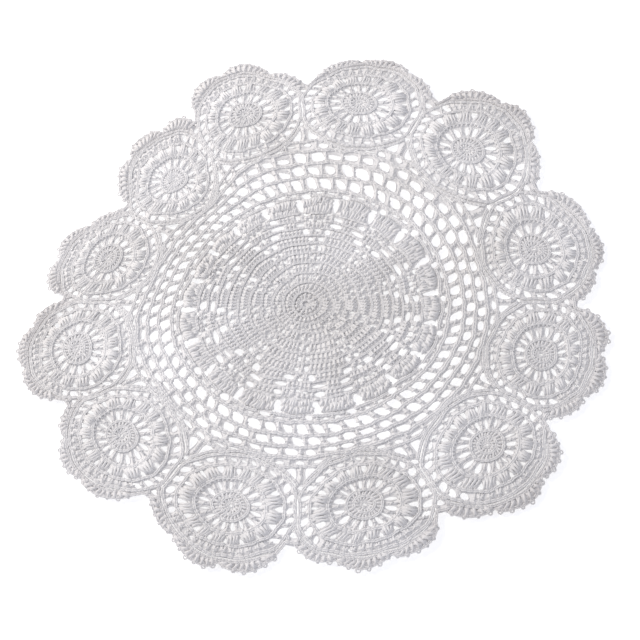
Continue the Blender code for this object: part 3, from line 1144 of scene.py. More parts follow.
@dataclass
class Net:
    """The open net of three rounds of holes, and the corners where it meets the rosettes."""

    plan: Plan
    rng: np.random.Generator
    columns: int = 60
    first_column: float = 3.55
    hole: float = 3.95
    rounds: tuple[NetRound, ...] = (
        NetRound(0.595, 0.639, 0.0, 2.2),
        NetRound(0.656, 0.692, -1.3, 1.3),
        NetRound(0.708, 0.741, -2.5, 0.8),
    )
    # How the holes stray, how much they differ and how rough their edges are
    hole_stray: tuple[float, float] = (0.28, 0.0020)
    hole_uneven: float = 0.13
    hole_sizes: tuple[float, float] = (0.7, 1.2)
    hole_rough: tuple[float, float] = (0.16, 0.0011)
    hole_points: int = 12
    hole_squareness: float = 0.72
    bars: tuple[float, ...] = (0.587, 0.6475, 0.7000, 0.7490)
    bar_swell: float = 0.0025
    # The last round's holes are lower where a rosette presses on them
    pressed_within: float = 7.0
    pressed_height: float = 0.72
    pressed_inward: float = 0.003
    chain_mm: float = 2.9
    links_a_loop: int = 3
    net_yarn_mm: float = 2.7
    overlap: float = 0.004
    lean_stray: float = 0.15
    teardrop: tuple[tuple[float, float], ...] = (
        (1.1, 0.800), (2.6, 0.794), (4.0, 0.801), (3.9, 0.812), (2.5, 0.838), (1.2, 0.862)
    )
    teardrop_uneven: float = 0.07
    teardrop_stray: tuple[float, float] = (0.15, 0.002)
    tip: float = 0.918
    touch: float = 112.5
    # Small holes about each joint between rosettes
    at_joint: tuple[SmallGap, ...] = (
        SmallGap(-6.6, 0.770, 1.7, 0.0085),
        SmallGap(-1.0, 0.776, 1.4, 0.0105),
        SmallGap(4.5, 0.770, 1.7, 0.0085),
        SmallGap(8.6, 0.762, 1.6, 0.0045),
        SmallGap(-10.6, 0.760, 1.6, 0.0045),
        SmallGap(0.0, 0.888, 0.8, 0.0100),
    )
    gap_lean: float = 0.4
    gap_uneven: float = 0.15
    # The chains along each rosette: how far off its edge, and the radius where each stops
    rails: tuple[tuple[float, float], ...] = ((0.009, 1.0), (0.021, 0.797))
    rail_starts: float = 0.756
    rail_links: int = 36
    rail_mm: float = 2.1
    rail_short_of_joint: float = 0.5
    # The bar across each joint, the posts that hold it, and those beyond it
    cross_bar: float = 0.7905
    cross_bar_half: float = 6.6
    cross_bar_links: int = 12
    cross_bar_mm: float = 2.2
    corner_posts: tuple[float, ...] = (-3.8, 1.8, 6.6, -8.8)
    corner_lean: float = 0.3
    corner_foot: float = 0.753
    corner_head: float = 0.786
    joint_posts: tuple[float, ...] = (0.794, 0.832)
    joint_post: float = 0.036
    joint_post_mm: float = 2.3
    gaps: np.ndarray = field(init=False)

    def __post_init__(self) -> None:
        """Places the small holes."""
        self.gaps = repeated(self.at_joint, self.joints(), self.rng, self.gap_uneven)

    def joints(self) -> np.ndarray:
        """Returns the directions of the joints between rosettes."""
        return self.plan.first_rosette + (np.arange(self.plan.rosettes) + 0.5) * self.plan.rosette_step

    def columns_of(self, row: NetRound) -> np.ndarray:
        """Returns the directions of a round's holes."""
        return self.first_column + row.turn + all_round(self.columns)

    def net_holes(self, row: NetRound) -> np.ndarray:
        """Draws the holes of one of the net's rounds, no two quite alike.

        Args:
            row: the round.

        Returns:
            Their edges, as places on the plan.
        """
        degrees = self.columns_of(row)
        height = (row.outer - row.inner) / 2.0
        halves = at(np.full(self.columns, self.hole / 2.0), height)
        middles = at(degrees, (row.inner + row.outer) / 2.0)
        if row is self.rounds[-1]:
            off = about_zero(degrees - self.plan.first_rosette, self.plan.rosette_step)
            pressed = np.abs(off) < self.pressed_within
            halves[pressed] *= (1.0, self.pressed_height)
            middles[pressed, 1] -= self.pressed_inward
        middles += self.rng.normal(0.0, 1.0, middles.shape) * self.hole_stray
        sizes = self.rng.normal(1.0, self.hole_uneven, halves.shape)
        halves *= np.clip(sizes, *self.hole_sizes)
        found = closed_ovals(middles, halves, row.lean, self.hole_points, self.hole_squareness)
        rough = self.rng.normal(0.0, 1.0, found.shape) * self.hole_rough
        # Neighbouring points stray alike, so that no edge is jagged
        return found + (rough + np.roll(rough, 1, axis=1)) / 1.4

    def holes(self) -> dict[str, np.ndarray]:
        """Draws the net's holes.

        Returns:
            Their edges in mm, in groups of like loops.
        """
        found = [self.net_holes(row) for row in self.rounds]
        small = slots(self.gaps, self.gap_lean, self.rng)
        drops = []
        for joint in self.joints():
            for sign in (1.0, -1.0):
                drop = np.array(self.teardrop) * (sign, 1.0)
                drop[:, 0] *= self.rng.normal(1.0, self.teardrop_uneven)
                drop += self.rng.normal(0.0, 1.0, drop.shape) * self.teardrop_stray
                drops.append(drop + (joint, 0.0))
        return {
            "net": self.plan.lay_out(np.concatenate(found)),
            "corner_slots": self.plan.lay_out(small),
            "drops": self.plan.lay_out(rounded(np.array(drops))),
        }

    def outline(self) -> np.ndarray:
        """Draws the ground's outer edge, hollowed out by the rosettes.

        Returns:
            The edge in mm.
        """
        parts = []
        degrees = np.arange(360.0 - self.touch, self.touch, -6.0)
        for number in range(self.plan.rosettes):
            parts.append(self.plan.along_rosette(number, degrees))
            parts.append(np.array([[self.joints()[number], self.tip]]))
        return self.plan.lay_out(np.concatenate(parts))

    def work(self, yarn: Yarn) -> None:
        """Works the net: chains round it, and a post between each two holes.

        Args:
            yarn: what it is worked in.
        """
        turns = [0.0] + [row.turn for row in self.rounds]
        for radius, turn in zip(self.bars, turns):
            loop_mm = self.links_a_loop * self.chain_mm
            loops = round(2.0 * math.pi * radius * self.plan.rim / loop_mm)
            degrees = all_round(self.links_a_loop * loops)
            phase = np.radians(degrees - self.first_column - turn) * self.columns
            places = at(degrees, radius + self.bar_swell * np.cos(phase))
            yarn.links(places, closed=True, width=self.net_yarn_mm)
        for row in self.rounds:
            between = self.columns_of(row) + 180.0 / self.columns
            lean = self.rng.normal(row.lean / 2.0, self.lean_stray, self.columns)
            foot = at(between - lean, row.inner - self.overlap)
            head = at(between + lean, row.outer + self.overlap)
            yarn.posts(foot, head, width=self.net_yarn_mm)

    def work_corners(self, yarn: Yarn) -> None:
        """Works the chains that run round the rosettes' inner sides, and between them.

        Args:
            yarn: what they are worked in.
        """
        step = self.plan.rosette_step
        degrees = np.linspace(360.0 - self.touch, self.touch, self.rail_links)
        along_bar = np.linspace(-self.cross_bar_half, self.cross_bar_half, self.cross_bar_links)
        for number, joint in enumerate(self.joints()):
            centre = self.plan.first_rosette + number * step
            for stand, limit in self.rails:
                reach = oval(degrees, self.plan.depth, self.plan.width) + stand
                places = self.plan.on_rosette(number, degrees, reach)
                inside = np.abs(places[:, 0] - centre) < step / 2.0 - self.rail_short_of_joint
                inside &= (places[:, 1] > self.rail_starts) & (places[:, 1] < limit)
                line = places[inside]
                yarn.links(line, closed=False, width=self.rail_mm, keep=~in_gap(line, self.gaps))
            yarn.links(at(joint + along_bar, self.cross_bar), closed=False, width=self.cross_bar_mm)
            middle = joint + np.array(self.corner_posts)
            foot = at(middle - self.corner_lean, self.corner_foot)
            head = at(middle + self.corner_lean, self.corner_head)
            yarn.posts(foot, head, width=self.cross_bar_mm)
            foot = at(joint, np.array(self.joint_posts))
            yarn.posts(foot, foot + (0.0, self.joint_post), width=self.joint_post_mm)


@dataclass(frozen=True)
class ChainRound:
    """A round of chain on a rosette: its radius, its links, and its rise and width in mm."""

    radius: float
    links: int
    rise: float
    width: float


@dataclass
class Rosette:
    """One wheel rosette: hub, spokes, raised ring, shells and a round of chain loops."""

    plan: Plan
    rng: np.random.Generator
    number: int
    eye: float = 0.0065
    eye_chain: ChainRound = ChainRound(0.014, 6, 0.1, 1.8)
    # The hub's rounds: where each starts and ends, and its posts
    hub_rounds: tuple[tuple[float, float, int], ...] = ((0.018, 0.041, 14), (0.043, 0.070, 24))
    hub_chains: tuple[ChainRound, ...] = (
        ChainRound(0.042, 14, 0.2, 2.1), ChainRound(0.074, 25, 0.2, 2.1)
    )
    spokes: int = 16
    spoke_starts: float = 0.078
    spoke_ends: float = 0.129
    spoke_mm: float = 1.9
    hub_post_mm: float = 2.3
    ring_post_mm: float = 2.5
    ring_slope_mm: float = 0.3
    shell_post_mm: float = 2.6
    shell_slope_mm: float = -0.2
    gap_starts: float = 0.081
    gap_ends: float = 0.128
    gap_half_mm: tuple[float, float] = (0.9, 1.45)
    gap_uneven: float = 0.2
    gap_sizes: tuple[float, float] = (0.6, 1.3)
    gap_stray: tuple[float, float] = (0.6, 0.0015)
    gap_slip: float = 0.003
    ring_starts: float = 0.134
    ring_ends: float = 0.146
    ring_posts: int = 46
    ring_chain: ChainRound = ChainRound(0.147, 40, 0.3, 2.2)
    shells: int = 16
    shell_posts: int = 4
    shell_foot: float = 0.151
    shell_top: float = 0.206
    shell_round: float = 0.008
    foot_share: float = 0.38
    top_share: float = 0.23
    shell_puff_mm: float = 0.45
    shell_gap_half_mm: float = 2.2
    shell_gap_narrows: float = 0.3
    shell_gap_uneven: float = 0.25
    shell_gap_sizes: tuple[float, float] = (0.5, 1.5)
    shell_gap_stray: tuple[float, float] = (0.5, 0.0015)
    shell_gap_starts: float = 0.172
    shell_gap_ends: float = 0.208
    band: float = 0.213
    band_links: int = 64
    band_swell: float = 0.0025
    loops: int = 30
    open_from: float = 58.0
    # The holes in that round: what is left of it inside and outside them, how much of the
    # rest they take outward and how much more sideways, their width as a share of a step,
    # the lowest that is shown, and how they differ
    band_margins: tuple[float, float] = (0.009, 0.010)
    band_heights: tuple[float, float] = (0.35, 0.65)
    band_hole: float = 0.30
    band_least: float = 0.0025
    band_uneven: float = 0.16
    band_sizes: tuple[float, float] = (0.6, 1.25)
    band_stray: float = 0.8
    outer_links: int = 66
    outer_inset: float = 0.007
    outer_swell: float = 0.0022
    outer_waves: float = 12.0
    chain_mm: float = 2.2
    close_step: float = 4.6
    least_band: float = 0.022
    leans: tuple[float, float] = (3.4, -1.2)
    # The widths of its close posts and of its wide ones, and how far they stop short
    close_mm: float = 2.4
    wide_mm: float = 1.9
    above_band: float = 0.006
    below_edge: float = 0.011
    # The holes under the edging's fans: direction, distance, half width and half height
    at_feet: tuple[tuple[float, float, float, float], ...] = (
        (-28.0, 0.212, 3.2, 0.0085), (22.0, 0.210, 3.0, 0.0075)
    )

    def round_at(self, degrees: np.ndarray, radius: float | np.ndarray) -> np.ndarray:
        """Returns places on the plan, on one of the rosette's rounds."""
        return self.plan.on_round(self.number, degrees, np.broadcast_to(radius, degrees.shape))

    def loops_of(self, corners: np.ndarray) -> np.ndarray:
        """Turns loops about the rosette's centre, as degrees and radius, into mm."""
        return self.plan.lay_out(self.round_at(corners[..., 0], corners[..., 1]))

    def wheel(self) -> np.ndarray:
        """Draws the gaps between the spokes.

        Returns:
            Their corners, as degrees and radius, with the gap in the first axis.
        """
        at_hub = math.degrees(self.gap_half_mm[0] / (self.gap_starts * self.plan.rim))
        at_ring = math.degrees(self.gap_half_mm[1] / (self.gap_ends * self.plan.rim))
        wedge = np.array(
            [
                (at_hub, self.gap_starts), (at_ring, self.gap_ends),
                (-at_ring, self.gap_ends), (-at_hub, self.gap_starts),
            ]
        )
        wedges = np.repeat(wedge[None], self.spokes, axis=0)
        sizes = self.rng.normal(1.0, self.gap_uneven, (self.spokes, 1))
        wedges[:, :, 0] *= np.clip(sizes, *self.gap_sizes)
        wedges += self.rng.normal(0.0, 1.0, wedges.shape) * self.gap_stray
        wedges[:, :, 1] += self.rng.normal(0.0, self.gap_slip, (self.spokes, 1))
        wedges[:, :, 0] += all_round(self.spokes)[:, None]
        return wedges

    def shell_gaps(self) -> np.ndarray:
        """Draws the small gaps between the tops of the shells.

        Returns:
            Their corners, as degrees and radius, with the gap in the first axis.
        """
        half = math.degrees(self.shell_gap_half_mm / (0.2 * self.plan.rim))
        narrow = self.shell_gap_narrows * half
        gap = np.array(
            [
                (half, self.shell_gap_ends), (-half, self.shell_gap_ends),
                (-narrow, self.shell_gap_starts), (narrow, self.shell_gap_starts),
            ]
        )
        gaps = np.repeat(gap[None], self.shells, axis=0)
        sizes = self.rng.normal(1.0, self.shell_gap_uneven, (self.shells, 1))
        gaps[:, :, 0] *= np.clip(sizes, *self.shell_gap_sizes)
        gaps += self.rng.normal(0.0, 1.0, gaps.shape) * self.shell_gap_stray
        gaps[:, :, 0] += ((np.arange(self.shells) + 0.5) * 360.0 / self.shells)[:, None]
        return gaps

    def holes(self) -> dict[str, np.ndarray]:
        """Draws the rosette's holes.

        Returns:
            Their edges in mm, in groups of like loops.
        """
        eye = self.plan.on_rosette(self.number, all_round(8), np.full(8, self.eye))
        feet = np.array(self.at_feet)
        feet[:, 0] += self.rng.normal(0.0, 1.0, len(feet))
        loops = closed_ovals(feet[:, :2], feet[:, 2:], 1.0, 10, 0.9)
        at_feet = self.plan.on_rosette(self.number, loops[..., 0], loops[..., 1])
        return {
            "wheel": self.loops_of(rounded(self.wheel())),
            "between_shells": self.loops_of(rounded(self.shell_gaps(), 2)),
            "band": self.band_holes(),
            "feet": self.plan.lay_out(at_feet),
            "eye": self.plan.lay_out(eye[None]),
        }

    def band_edges(self, degrees: np.ndarray) -> tuple[np.ndarray, np.ndarray]:
        """Returns where the round of chain loops starts and ends, from the centre."""
        low = oval(degrees, self.band * self.plan.squash, np.full(degrees.shape, self.band))
        return low, self.plan.rosette_edge(degrees)

    def band_holes(self) -> np.ndarray:
        """Draws the holes in the round of chain loops, wider towards the neighbours.

        Returns:
            Their edges in mm.
        """
        step = 360.0 / self.loops
        middles = (np.arange(self.loops) + 0.5) * step
        low, high = self.band_edges(middles)
        low, high = low + self.band_margins[0], high - self.band_margins[1]
        beside = np.abs(np.sin(np.radians(middles))) ** 2
        least, more = self.band_heights
        across = (high - low) / 2.0 * (least + more * beside)
        half = at(step * self.band_hole, across)
        sizes = self.rng.normal(1.0, self.band_uneven, half.shape)
        half *= np.clip(sizes, *self.band_sizes)
        middle = at(middles, (low + high) / 2.0)
        middle[:, 0] += self.rng.normal(0.0, self.band_stray, self.loops)
        shown = (across > self.band_least) & (np.abs(about_zero(middles)) > self.open_from)
        lean = step * self.band_hole
        corners = closed_ovals(middle[shown], half[shown], lean, SLOT_POINTS, 0.85)
        places = self.plan.on_rosette(self.number, corners[..., 0], corners[..., 1])
        return self.plan.lay_out(places)

    def outline(self) -> np.ndarray:
        """Draws the rosette's outer edge.

        Returns:
            The edge in mm.
        """
        degrees = np.arange(0.0, 360.0, 5.0)
        reach = self.plan.rosette_edge(degrees) - 0.001
        return self.plan.lay_out(self.plan.on_rosette(self.number, degrees, reach))

    def inside(self) -> np.ndarray:
        """Returns places on the rosette's hub in mm, for its lie."""
        return self.plan.lay_out(self.round_at(all_round(8), 0.04))

    def work_chain(self, yarn: Yarn, chain: ChainRound) -> None:
        """Works a closed chain along one of the rosette's rounds."""
        places = self.round_at(all_round(chain.links), chain.radius)
        yarn.links(places, closed=True, width=chain.width, rise=chain.rise)

    def work_posts(
        self, yarn: Yarn, count: int, inner: float, outer: float, width: float,
        rise: float = 0.1, slope: float = 0.0, wrapped: bool = False,
    ) -> None:
        """Works one even round of posts.

        Args:
            yarn: what it is worked in.
            count: how many posts it has.
            inner: the radius where it starts.
            outer: the radius where it ends.
            width: how wide a post is, in mm.
            rise: how far it stands above its neighbours, in mm.
            slope: how much higher its head is than its foot, in mm.
            wrapped: whether the yarn wrapped round its legs is seen.
        """
        degrees = (np.arange(count) + 0.5) * 360.0 / count
        low, high = self.round_at(degrees, inner), self.round_at(degrees, outer)
        yarn.posts(low, high, width, rise, slope, wrapped)

    def work(self, yarn: Yarn) -> None:
        """Works the rosette from its middle outwards.

        Args:
            yarn: what it is worked in.
        """
        self.work_chain(yarn, self.eye_chain)
        for inner, outer, count in self.hub_rounds:
            self.work_posts(yarn, count, inner, outer, self.hub_post_mm)
        for chain in self.hub_chains:
            self.work_chain(yarn, chain)
        self.work_posts(
            yarn, self.spokes, self.spoke_starts, self.spoke_ends, self.spoke_mm, 0.0, wrapped=True
        )
        self.work_posts(
            yarn, self.ring_posts, self.ring_starts, self.ring_ends, self.ring_post_mm,
            slope=self.ring_slope_mm,
        )
        self.work_chain(yarn, self.ring_chain)
        self.work_shells(yarn)
        degrees = all_round(self.band_links)
        bumpy = self.band + self.band_swell * np.cos(np.radians(degrees) * self.shells)
        yarn.links(self.round_at(degrees, bumpy), closed=True, width=self.chain_mm, rise=0.1)
        self.work_band(yarn)

    def work_shells(self, yarn: Yarn) -> None:
        """Works the round of shells, whose posts draw together at their tops.

        Args:
            yarn: what they are worked in.
        """
        step = 360.0 / self.shells
        spread = np.linspace(-1.0, 1.0, self.shell_posts)
        middles = all_round(self.shells)[:, None]
        foot = (middles + spread * step * self.foot_share).ravel()
        head = (middles + spread * step * self.top_share).ravel()
        top = np.tile(self.shell_top - self.shell_round * spread**2, self.shells)
        puffed = self.shell_puff_mm * np.tile(1.0 - spread**2, self.shells)
        low, high = self.round_at(foot, self.shell_foot), self.round_at(head, top)
        yarn.posts(low, high, self.shell_post_mm, puffed, self.shell_slope_mm, wrapped=False)

    def work_band(self, yarn: Yarn) -> None:
        """Works the outer chain, and the stitches and loops that hang it on the shells.

        Args:
            yarn: what they are worked in.
        """
        degrees = all_round(self.outer_links)
        swell = self.outer_swell * np.cos(np.radians(degrees) * self.outer_waves)
        reach = self.plan.rosette_edge(degrees) - self.outer_inset + swell
        places = self.plan.on_rosette(self.number, degrees, reach)
        yarn.links(places, closed=True, width=self.chain_mm)
        close = np.arange(2.0 - self.open_from, self.open_from - 1.0, self.close_step)
        wide = all_round(self.loops)
        wide = wide[np.abs(about_zero(wide)) > self.open_from - 3.0]
        for degrees, width in ((close, self.close_mm), (wide, self.wide_mm)):
            low, high = self.band_edges(degrees)
            lean = np.where(np.arange(len(degrees)) % 2 == 0, *self.leans)
            start = self.plan.on_rosette(self.number, degrees, low + self.above_band)
            end = self.plan.on_rosette(self.number, degrees + lean, high - self.below_edge)
            far = high - low > self.least_band
            yarn.posts(start[far], end[far], width=width)


@dataclass
class Edging:
    """The edging of picot fans, three on each rosette."""

    plan: Plan
    rng: np.random.Generator
    middles: tuple[float, ...] = (-49.0, 0.0, 49.0)
    fan: float = 49.0
    fullness: float = 0.6
    posts: int = 9
    picots: int = 6
    # The cloth's edge in each fan: its steps, and its inset as a share of the rise
    edge_steps: int = 12
    edge_inset: float = 0.08
    foot_links: int = 54
    foot_level: float = -0.12
    foot_chain_mm: float = 2.1
    crest_links: int = 15
    crest_mm: float = 2.0
    post_mm: float = 3.1
    notch: float = 1.130
    notch_turn: float = -2.0
    notch_width: float = 1.2
    # The hole in each notch: turn from the joint, radius, half width and half height
    notch_hole: tuple[float, float, float, float] = (-0.4, 1.090, 0.85, 0.012)
    # The chain on one side of that hole
    round_notch: tuple[tuple[float, float], ...] = ((0.9, 1.068), (1.4, 1.090), (0.9, 1.112))
    inner_tip: float = 1.050
    # The holes at a fan's feet: share of its width, half width and half rise
    feet_holes: tuple[tuple[float, float, float], ...] = ((-0.33, 3.2, 0.17), (0.30, 2.2, 0.10))
    feet_uneven: float = 0.15
    # Shares of the rise at a fan's posts' feet and heads, its chain and its picots' roots
    post_foot: float = 0.05
    post_head: float = 0.78
    chain_level: float = 0.9
    picot_root: float = 0.96
    feet_spread: float = 0.75
    picot_spread: float = 1.04
    picot_aim: float = 0.6

    def crest(self, share: np.ndarray) -> np.ndarray:
        """Returns how far a fan's edge rises, at shares of its width from -0.5 to 0.5."""
        return np.cos(math.pi * share) ** self.fullness

    def joint(self, number: int) -> float:
        """Returns the direction of the joint after a rosette."""
        return self.plan.first_rosette + (number + 0.5) * self.plan.rosette_step

    def beyond_notch(self, number: int, places: np.ndarray, least: float) -> np.ndarray:
        """Tells which places lie past the notch before a rosette, and far enough out."""
        start = self.joint(number - 1) + self.notch_turn + self.notch_width
        return (places[..., 0] > start) & (places[..., 1] > least)

    def outline(self) -> np.ndarray:
        """Draws the edging's outer edge, without its picots.

        Returns:
            The edge in mm.
        """
        parts = []
        share = np.linspace(-0.5, 0.5, self.edge_steps, endpoint=False)
        for number in range(self.plan.rosettes):
            for middle in self.middles:
                rise = self.crest(share) - self.edge_inset
                places = self.plan.on_edging(number, middle + share * self.fan, rise)
                parts.append(places[self.beyond_notch(number, places, self.notch)])
            end = np.array([self.middles[-1] + self.fan / 2.0])
            parts.append(self.plan.on_edging(number, end, np.array([0.0])))
            parts.append(np.array([[self.joint(number) + self.notch_turn, self.notch]]))
        return self.plan.lay_out(np.concatenate(parts))

    def inner(self) -> np.ndarray:
        """Draws the edging's inner edge, along the rosettes.

        Returns:
            The edge in mm.
        """
        parts = []
        degrees = np.arange(-84.0, 85.0, 6.0)
        for number in range(self.plan.rosettes):
            parts.append(self.plan.along_rosette(number, degrees))
            parts.append(np.array([[self.joint(number), self.inner_tip]]))
        return self.plan.lay_out(np.concatenate(parts))

    def flat(self) -> tuple[float, float]:
        """Measures the edging as the strip that it is when it lies straight.

        Returns:
            Its width, that of its tallest fan, and its length along the rosettes, in metres.
        """
        outer, inner = self.outline(), self.inner()
        length = np.linalg.norm(inner - np.roll(inner, 1, axis=0), axis=1).sum()
        widest = np.linalg.norm(outer[:, None] - inner[None], axis=-1).min(axis=1).max()
        return float(widest) * MM, float(length) * MM

    def holes(self) -> dict[str, np.ndarray]:
        """Draws the small holes at the fans' feet and in the notches.

        Returns:
            Their edges in mm, in groups of like loops.
        """
        loops, notches = [], []
        turn, radius, *half_notch = self.notch_hole
        for number in range(self.plan.rosettes):
            for middle in self.middles:
                for share, half_width, half_rise in self.feet_holes:
                    centre = np.array([[middle + share * self.fan, half_rise + 0.02]])
                    size = self.rng.normal(1.0, self.feet_uneven, (1, 2))
                    half = np.array([[half_width, half_rise]]) * size
                    corners = closed_ovals(centre, half, 0.0, SLOT_POINTS, 0.9)
                    places = self.plan.on_edging(number, corners[..., 0], corners[..., 1])
                    if self.beyond_notch(number, places, self.notch + 0.004).all():
                        loops.append(places)
            centre = np.array([[self.joint(number) + turn, radius]])
            notches.append(closed_ovals(centre, np.array([half_notch]), 0.0, SLOT_POINTS, 0.9))
        return {
            "feet": self.plan.lay_out(np.concatenate(loops)),
            "notches": self.plan.lay_out(np.concatenate(notches)),
        }

    def work(self, yarn: Yarn) -> None:
        """Works the edging: a chain along the rosettes, the fans' posts, crests and picots.

        Args:
            yarn: what it is worked in.
        """
        degrees = np.linspace(-86.0, 60.0, self.foot_links)
        for number in range(self.plan.rosettes):
            foot = self.plan.on_edging(number, degrees, np.full(self.foot_links, self.foot_level))
            foot = foot[self.beyond_notch(number, foot, 1.0)]
            yarn.links(foot, closed=False, width=self.foot_chain_mm)
            for middle in self.middles:
                self.work_fan(yarn, number, middle)
            self.work_notch(yarn, number)

    def work_fan(self, yarn: Yarn, number: int, middle: float) -> None:
        """Works one fan: its posts, the chain over them and its picots.

        Args:
            yarn: what it is worked in.
            number: the rosette that it stands on, from 0.
            middle: its direction from the rosette's centre, in degrees.
        """
        share = np.linspace(-0.45, 0.45, self.posts)
        low = np.full(self.posts, self.post_foot)
        foot = self.plan.on_edging(number, middle + share * self.fan * self.feet_spread, low)
        high = self.crest(share) * self.post_head
        head = self.plan.on_edging(number, middle + share * self.fan, high)
        there = self.beyond_notch(number, head, self.notch) & self.beyond_notch(number, foot, 1.0)
        yarn.posts(foot[there], head[there], width=self.post_mm, rise=0.1, wrapped=False)
        share = np.linspace(-0.49, 0.49, self.crest_links)
        high = self.crest(share) * self.chain_level - 0.02
        top = self.plan.on_edging(number, middle + share * self.fan, high)
        top = top[self.beyond_notch(number, top, self.notch - 0.01)]
        yarn.links(top, closed=False, width=self.crest_mm, rise=-0.1)
        share = (np.arange(self.picots) + 0.5) / self.picots - 0.5
        high = self.crest(share)
        root = self.plan.on_edging(number, middle + share * self.fan, high * self.picot_root)
        aside = middle + share * self.fan * self.picot_spread
        tip = self.plan.on_edging(number, aside, high + self.picot_aim)
        there = self.beyond_notch(number, root, self.notch)
        yarn.picots(root[there], tip[there])

    def work_notch(self, yarn: Yarn, number: int) -> None:
        """Works the chain that runs through the notch after a rosette.

        Args:
            yarn: what it is worked in.
            number: the rosette, from 0.
        """
        joint = self.joint(number)
        ends = (
            self.plan.on_edging(number, np.array([73.0]), np.array([0.05]))[0],
            np.array([joint + self.notch_turn, self.notch - 0.009]),
            np.array([joint + 0.6, self.notch - 0.006]),
        )
        share = np.linspace(0.0, 1.0, 4)[:, None]
        for start, end in zip(ends, ends[1:]):
            line = start * (1.0 - share) + end * share
            yarn.links(line, closed=False, width=self.foot_chain_mm)
        around = np.array(self.round_notch)
        for sign in (1.0, -1.0):
            line = around * (sign, 1.0) + (joint + self.notch_hole[0], 0.0)
            yarn.links(line, closed=False, width=self.foot_chain_mm)


@dataclass(frozen=True)
class WhiteTableTop:
    """Matt white, a little lit from within: to the eye one even white with hardly a shadow."""

    name: str = "white_table"
    white: str = "#f7f7f7"
    roughness: float = 0.9
    specular: float = 0.1
    glow: str = "#ffffff"
    glow_strength: float = 0.40

    def make(self) -> bpy.types.Material:
        """Makes the material.

        Returns:
            The material.
        """
        material = bpy.data.materials.new(self.name)
        material.use_nodes = True
        shader = material.node_tree.nodes["Principled BSDF"]
        shader.inputs["Base Color"].default_value = linear(self.white)
        shader.inputs["Roughness"].default_value = self.roughness
        shader.inputs["Specular IOR Level"].default_value = self.specular
        shader.inputs["Emission Color"].default_value = linear(self.glow)
        shader.inputs["Emission Strength"].default_value = self.glow_strength
        return material


@dataclass(frozen=True)
class Studio:
    """A plain pale table under soft light, and the photograph's camera.

    The camera's tilt and roll are in radians, its stand and aim in rims, its sensor in mm and
    its focal length and picture in pixels. The lamp and the table are in metres.
    """

    focal: float = 1000.0
    picture: float = 640.0
    tilt: float = 0.5169
    roll: float = 0.2226
    stand: tuple[float, float, float] = (-0.0471, 0.105, -4.3502)
    aim: tuple[float, float] = (-0.002, -0.033)
    sensor: float = 36.0
    table_side: float = 6.0
    table_level: float = -0.0002
    sky: str = "#f5f6ff"
    sky_strength: float = 0.66
    lamp_place: tuple[float, float, float] = (-0.80, 0.62, 0.62)
    lamp_size: tuple[float, float] = (0.6, 0.5)
    lamp_watts: float = 9.8
    lamp_colour: str = "#fff9f2"

    def camera(self, plan: Plan) -> None:
        """Stands the camera where the photograph was taken from.

        Args:
            plan: the mat's plan, whose star the camera is aimed by.
        """
        shift = Vector(
            (
                self.aim[0] * plan.rim - plan.star_centre[0],
                self.aim[1] * plan.rim - plan.star_centre[1],
                0.0,
            )
        )
        turned = Matrix.Rotation(self.roll, 4, "Z") @ Matrix.Rotation(-self.tilt, 4, "X")
        stood = Matrix.Translation(Vector(self.stand) * plan.rim * MM)
        to_camera = stood @ turned @ Matrix.Translation(shift * MM)
        data = bpy.data.cameras.new("camera")
        data.sensor_width = self.sensor
        data.lens = self.sensor * self.focal / self.picture
        camera = bpy.data.objects.new("camera", data)
        camera.matrix_world = to_camera.inverted()
        bpy.context.scene.collection.objects.link(camera)
        bpy.context.scene.camera = camera

    def table(self) -> None:
        """Lays a wide white table under the mat."""
        bpy.ops.object.select_all(action="DESELECT")
        place = (0.0, 0.0, self.table_level)
        bpy.ops.mesh.primitive_plane_add(size=self.table_side, location=place)
        floor = bpy.context.object
        floor.name = "table_top"
        floor.data.materials.append(WhiteTableTop().make())

    def light(self) -> None:
        """Hangs one large soft lamp and an even sky."""
        world = bpy.data.worlds.new("even_sky")
        bpy.context.scene.world = world
        world.use_nodes = True
        sky = world.node_tree.nodes["Background"]
        sky.inputs["Color"].default_value = linear(self.sky)
        sky.inputs["Strength"].default_value = self.sky_strength
        data = bpy.data.lights.new("window", "AREA")
        data.shape = "RECTANGLE"
        data.size, data.size_y = self.lamp_size
        data.energy = self.lamp_watts
        data.color = linear(self.lamp_colour)[:3]
        lamp = bpy.data.objects.new("window", data)
        lamp.location = self.lamp_place
        lamp.rotation_euler = (-lamp.location).to_track_quat("-Z", "Y").to_euler()
        bpy.context.scene.collection.objects.link(lamp)

    def build(self, plan: Plan) -> None:
        """Makes the table, the light and the camera.

        Args:
            plan: the mat's plan.
        """
        self.camera(plan)
        self.table()
        self.light()
        bpy.context.scene.view_settings.view_transform = "Standard"


def cut_edges(holes: dict[str, np.ndarray]) -> list[np.ndarray]:
    """Returns each hole's edge in the cloth, hidden by the yarn round it."""
    return [loop for group in holes.values() for loop in grown(group, COVERED)]


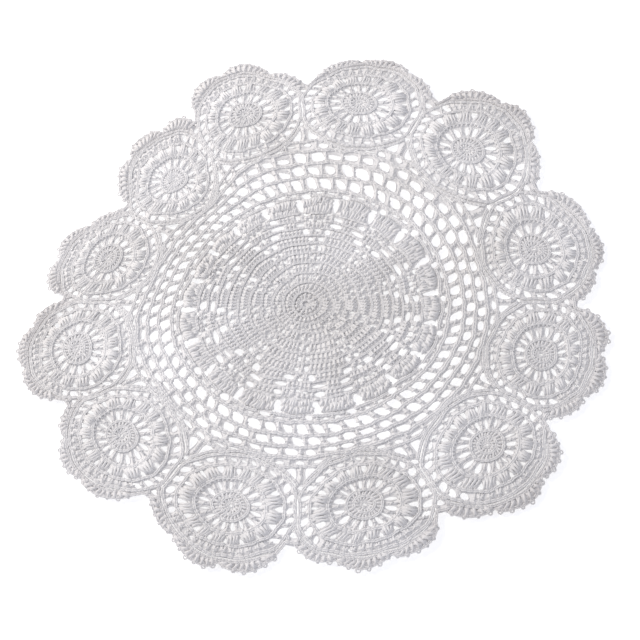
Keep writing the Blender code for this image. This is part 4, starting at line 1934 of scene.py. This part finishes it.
def build_ground(plan: Plan, rng: np.random.Generator, cotton: bpy.types.Material) -> None:
    """Builds the ground: its cloth, and the yarn of the star, the fans, the net and corners.

    Args:
        plan: the mat's plan.
        rng: the source of the stitches' differences.
        cotton: the yarn's material.
    """
    star, net = Star(plan, rng), Net(plan, rng)
    holes = {**star.holes(), **net.holes()}
    inside = np.array([(d, r) for r in (0.1, 0.2, 0.3, 0.45) for d in range(0, 360, 20)], float)
    cloth, area = Cloth("ground_cloth", plan).finish(
        net.outline(), cut_edges(holes), plan.lay_out(inside), cotton, Slot.MAT, "ground"
    )
    jobs = (
        ("star_stitches", star.work, ("slots",)),
        ("fan_stitches", star.work_fans, ("fans",)),
        ("net_stitches", net.work, ("net",)),
        ("corner_stitches", net.work_corners, ("corner_slots", "drops")),
    )
    for name, work, groups in jobs:
        yarn = Yarn(name, plan, rng)
        work(yarn)
        for group in groups:
            yarn.rims(holes[group])
        yarn.finish(cotton, Slot.MAT, "ground")


def build_rosette(plan: Plan, rng: np.random.Generator, cotton: bpy.types.Material, number: int) -> None:
    """Builds one rosette: its cloth and its yarn.

    Args:
        plan: the mat's plan.
        rng: the source of the stitches' differences.
        cotton: the yarn's material.
        number: the rosette, from 0.
    """
    node = f"rosette_{number + 1:02d}"
    rosette = Rosette(plan, rng, number)
    holes = {name: group for name, group in rosette.holes().items() if len(group)}
    cloth, area = Cloth(f"{node}_cloth", plan).finish(
        rosette.outline(), cut_edges(holes), rosette.inside(), cotton, Slot.MAT, node
    )
    yarn = Yarn(f"{node}_stitches", plan, rng)
    rosette.work(yarn)
    for group in holes.values():
        yarn.rims(group, radius=THIN_RIM)
    yarn.finish(cotton, Slot.MAT, node)


def build_edging(plan: Plan, rng: np.random.Generator, cotton: bpy.types.Material) -> None:
    """Builds the edging: its cloth and its yarn.

    Args:
        plan: the mat's plan.
        rng: the source of the stitches' differences.
        cotton: the yarn's material.
    """
    edging = Edging(plan, rng)
    holes = edging.holes()
    cloth, area = Cloth("edging_cloth", plan).finish(
        edging.outline(), [edging.inner(), *cut_edges(holes)], np.zeros((0, 2)),
        cotton, Slot.EDGING, "edging",
    )
    yarn = Yarn("edging_stitches", plan, rng)
    edging.work(yarn)
    for group in holes.values():
        yarn.rims(group, radius=THIN_RIM)
    made = yarn.finish(cotton, Slot.EDGING, "edging")
    edging.flat()


def main() -> None:
    """Builds the placemat and its studio."""
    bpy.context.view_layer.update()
    rng = np.random.default_rng(SEED)
    plan = Plan()
    Studio().build(plan)
    # Dull, soft white yarn, whose greyer places keep the mat from looking flat
    cotton = CottonYarn("bleached_cotton_yarn", "#f0efef", "#e3e1df").make()
    # The same yarn, painted a little greyer on the edging as painted shade
    edging_cotton = CottonYarn("shaded_cotton_yarn", "#eeeded", "#dddad8").make()
    build_ground(plan, rng, cotton)
    for number in range(plan.rosettes):
        build_rosette(plan, rng, cotton, number)
    build_edging(plan, rng, edging_cotton)


if __name__ == "__main__":
    main()
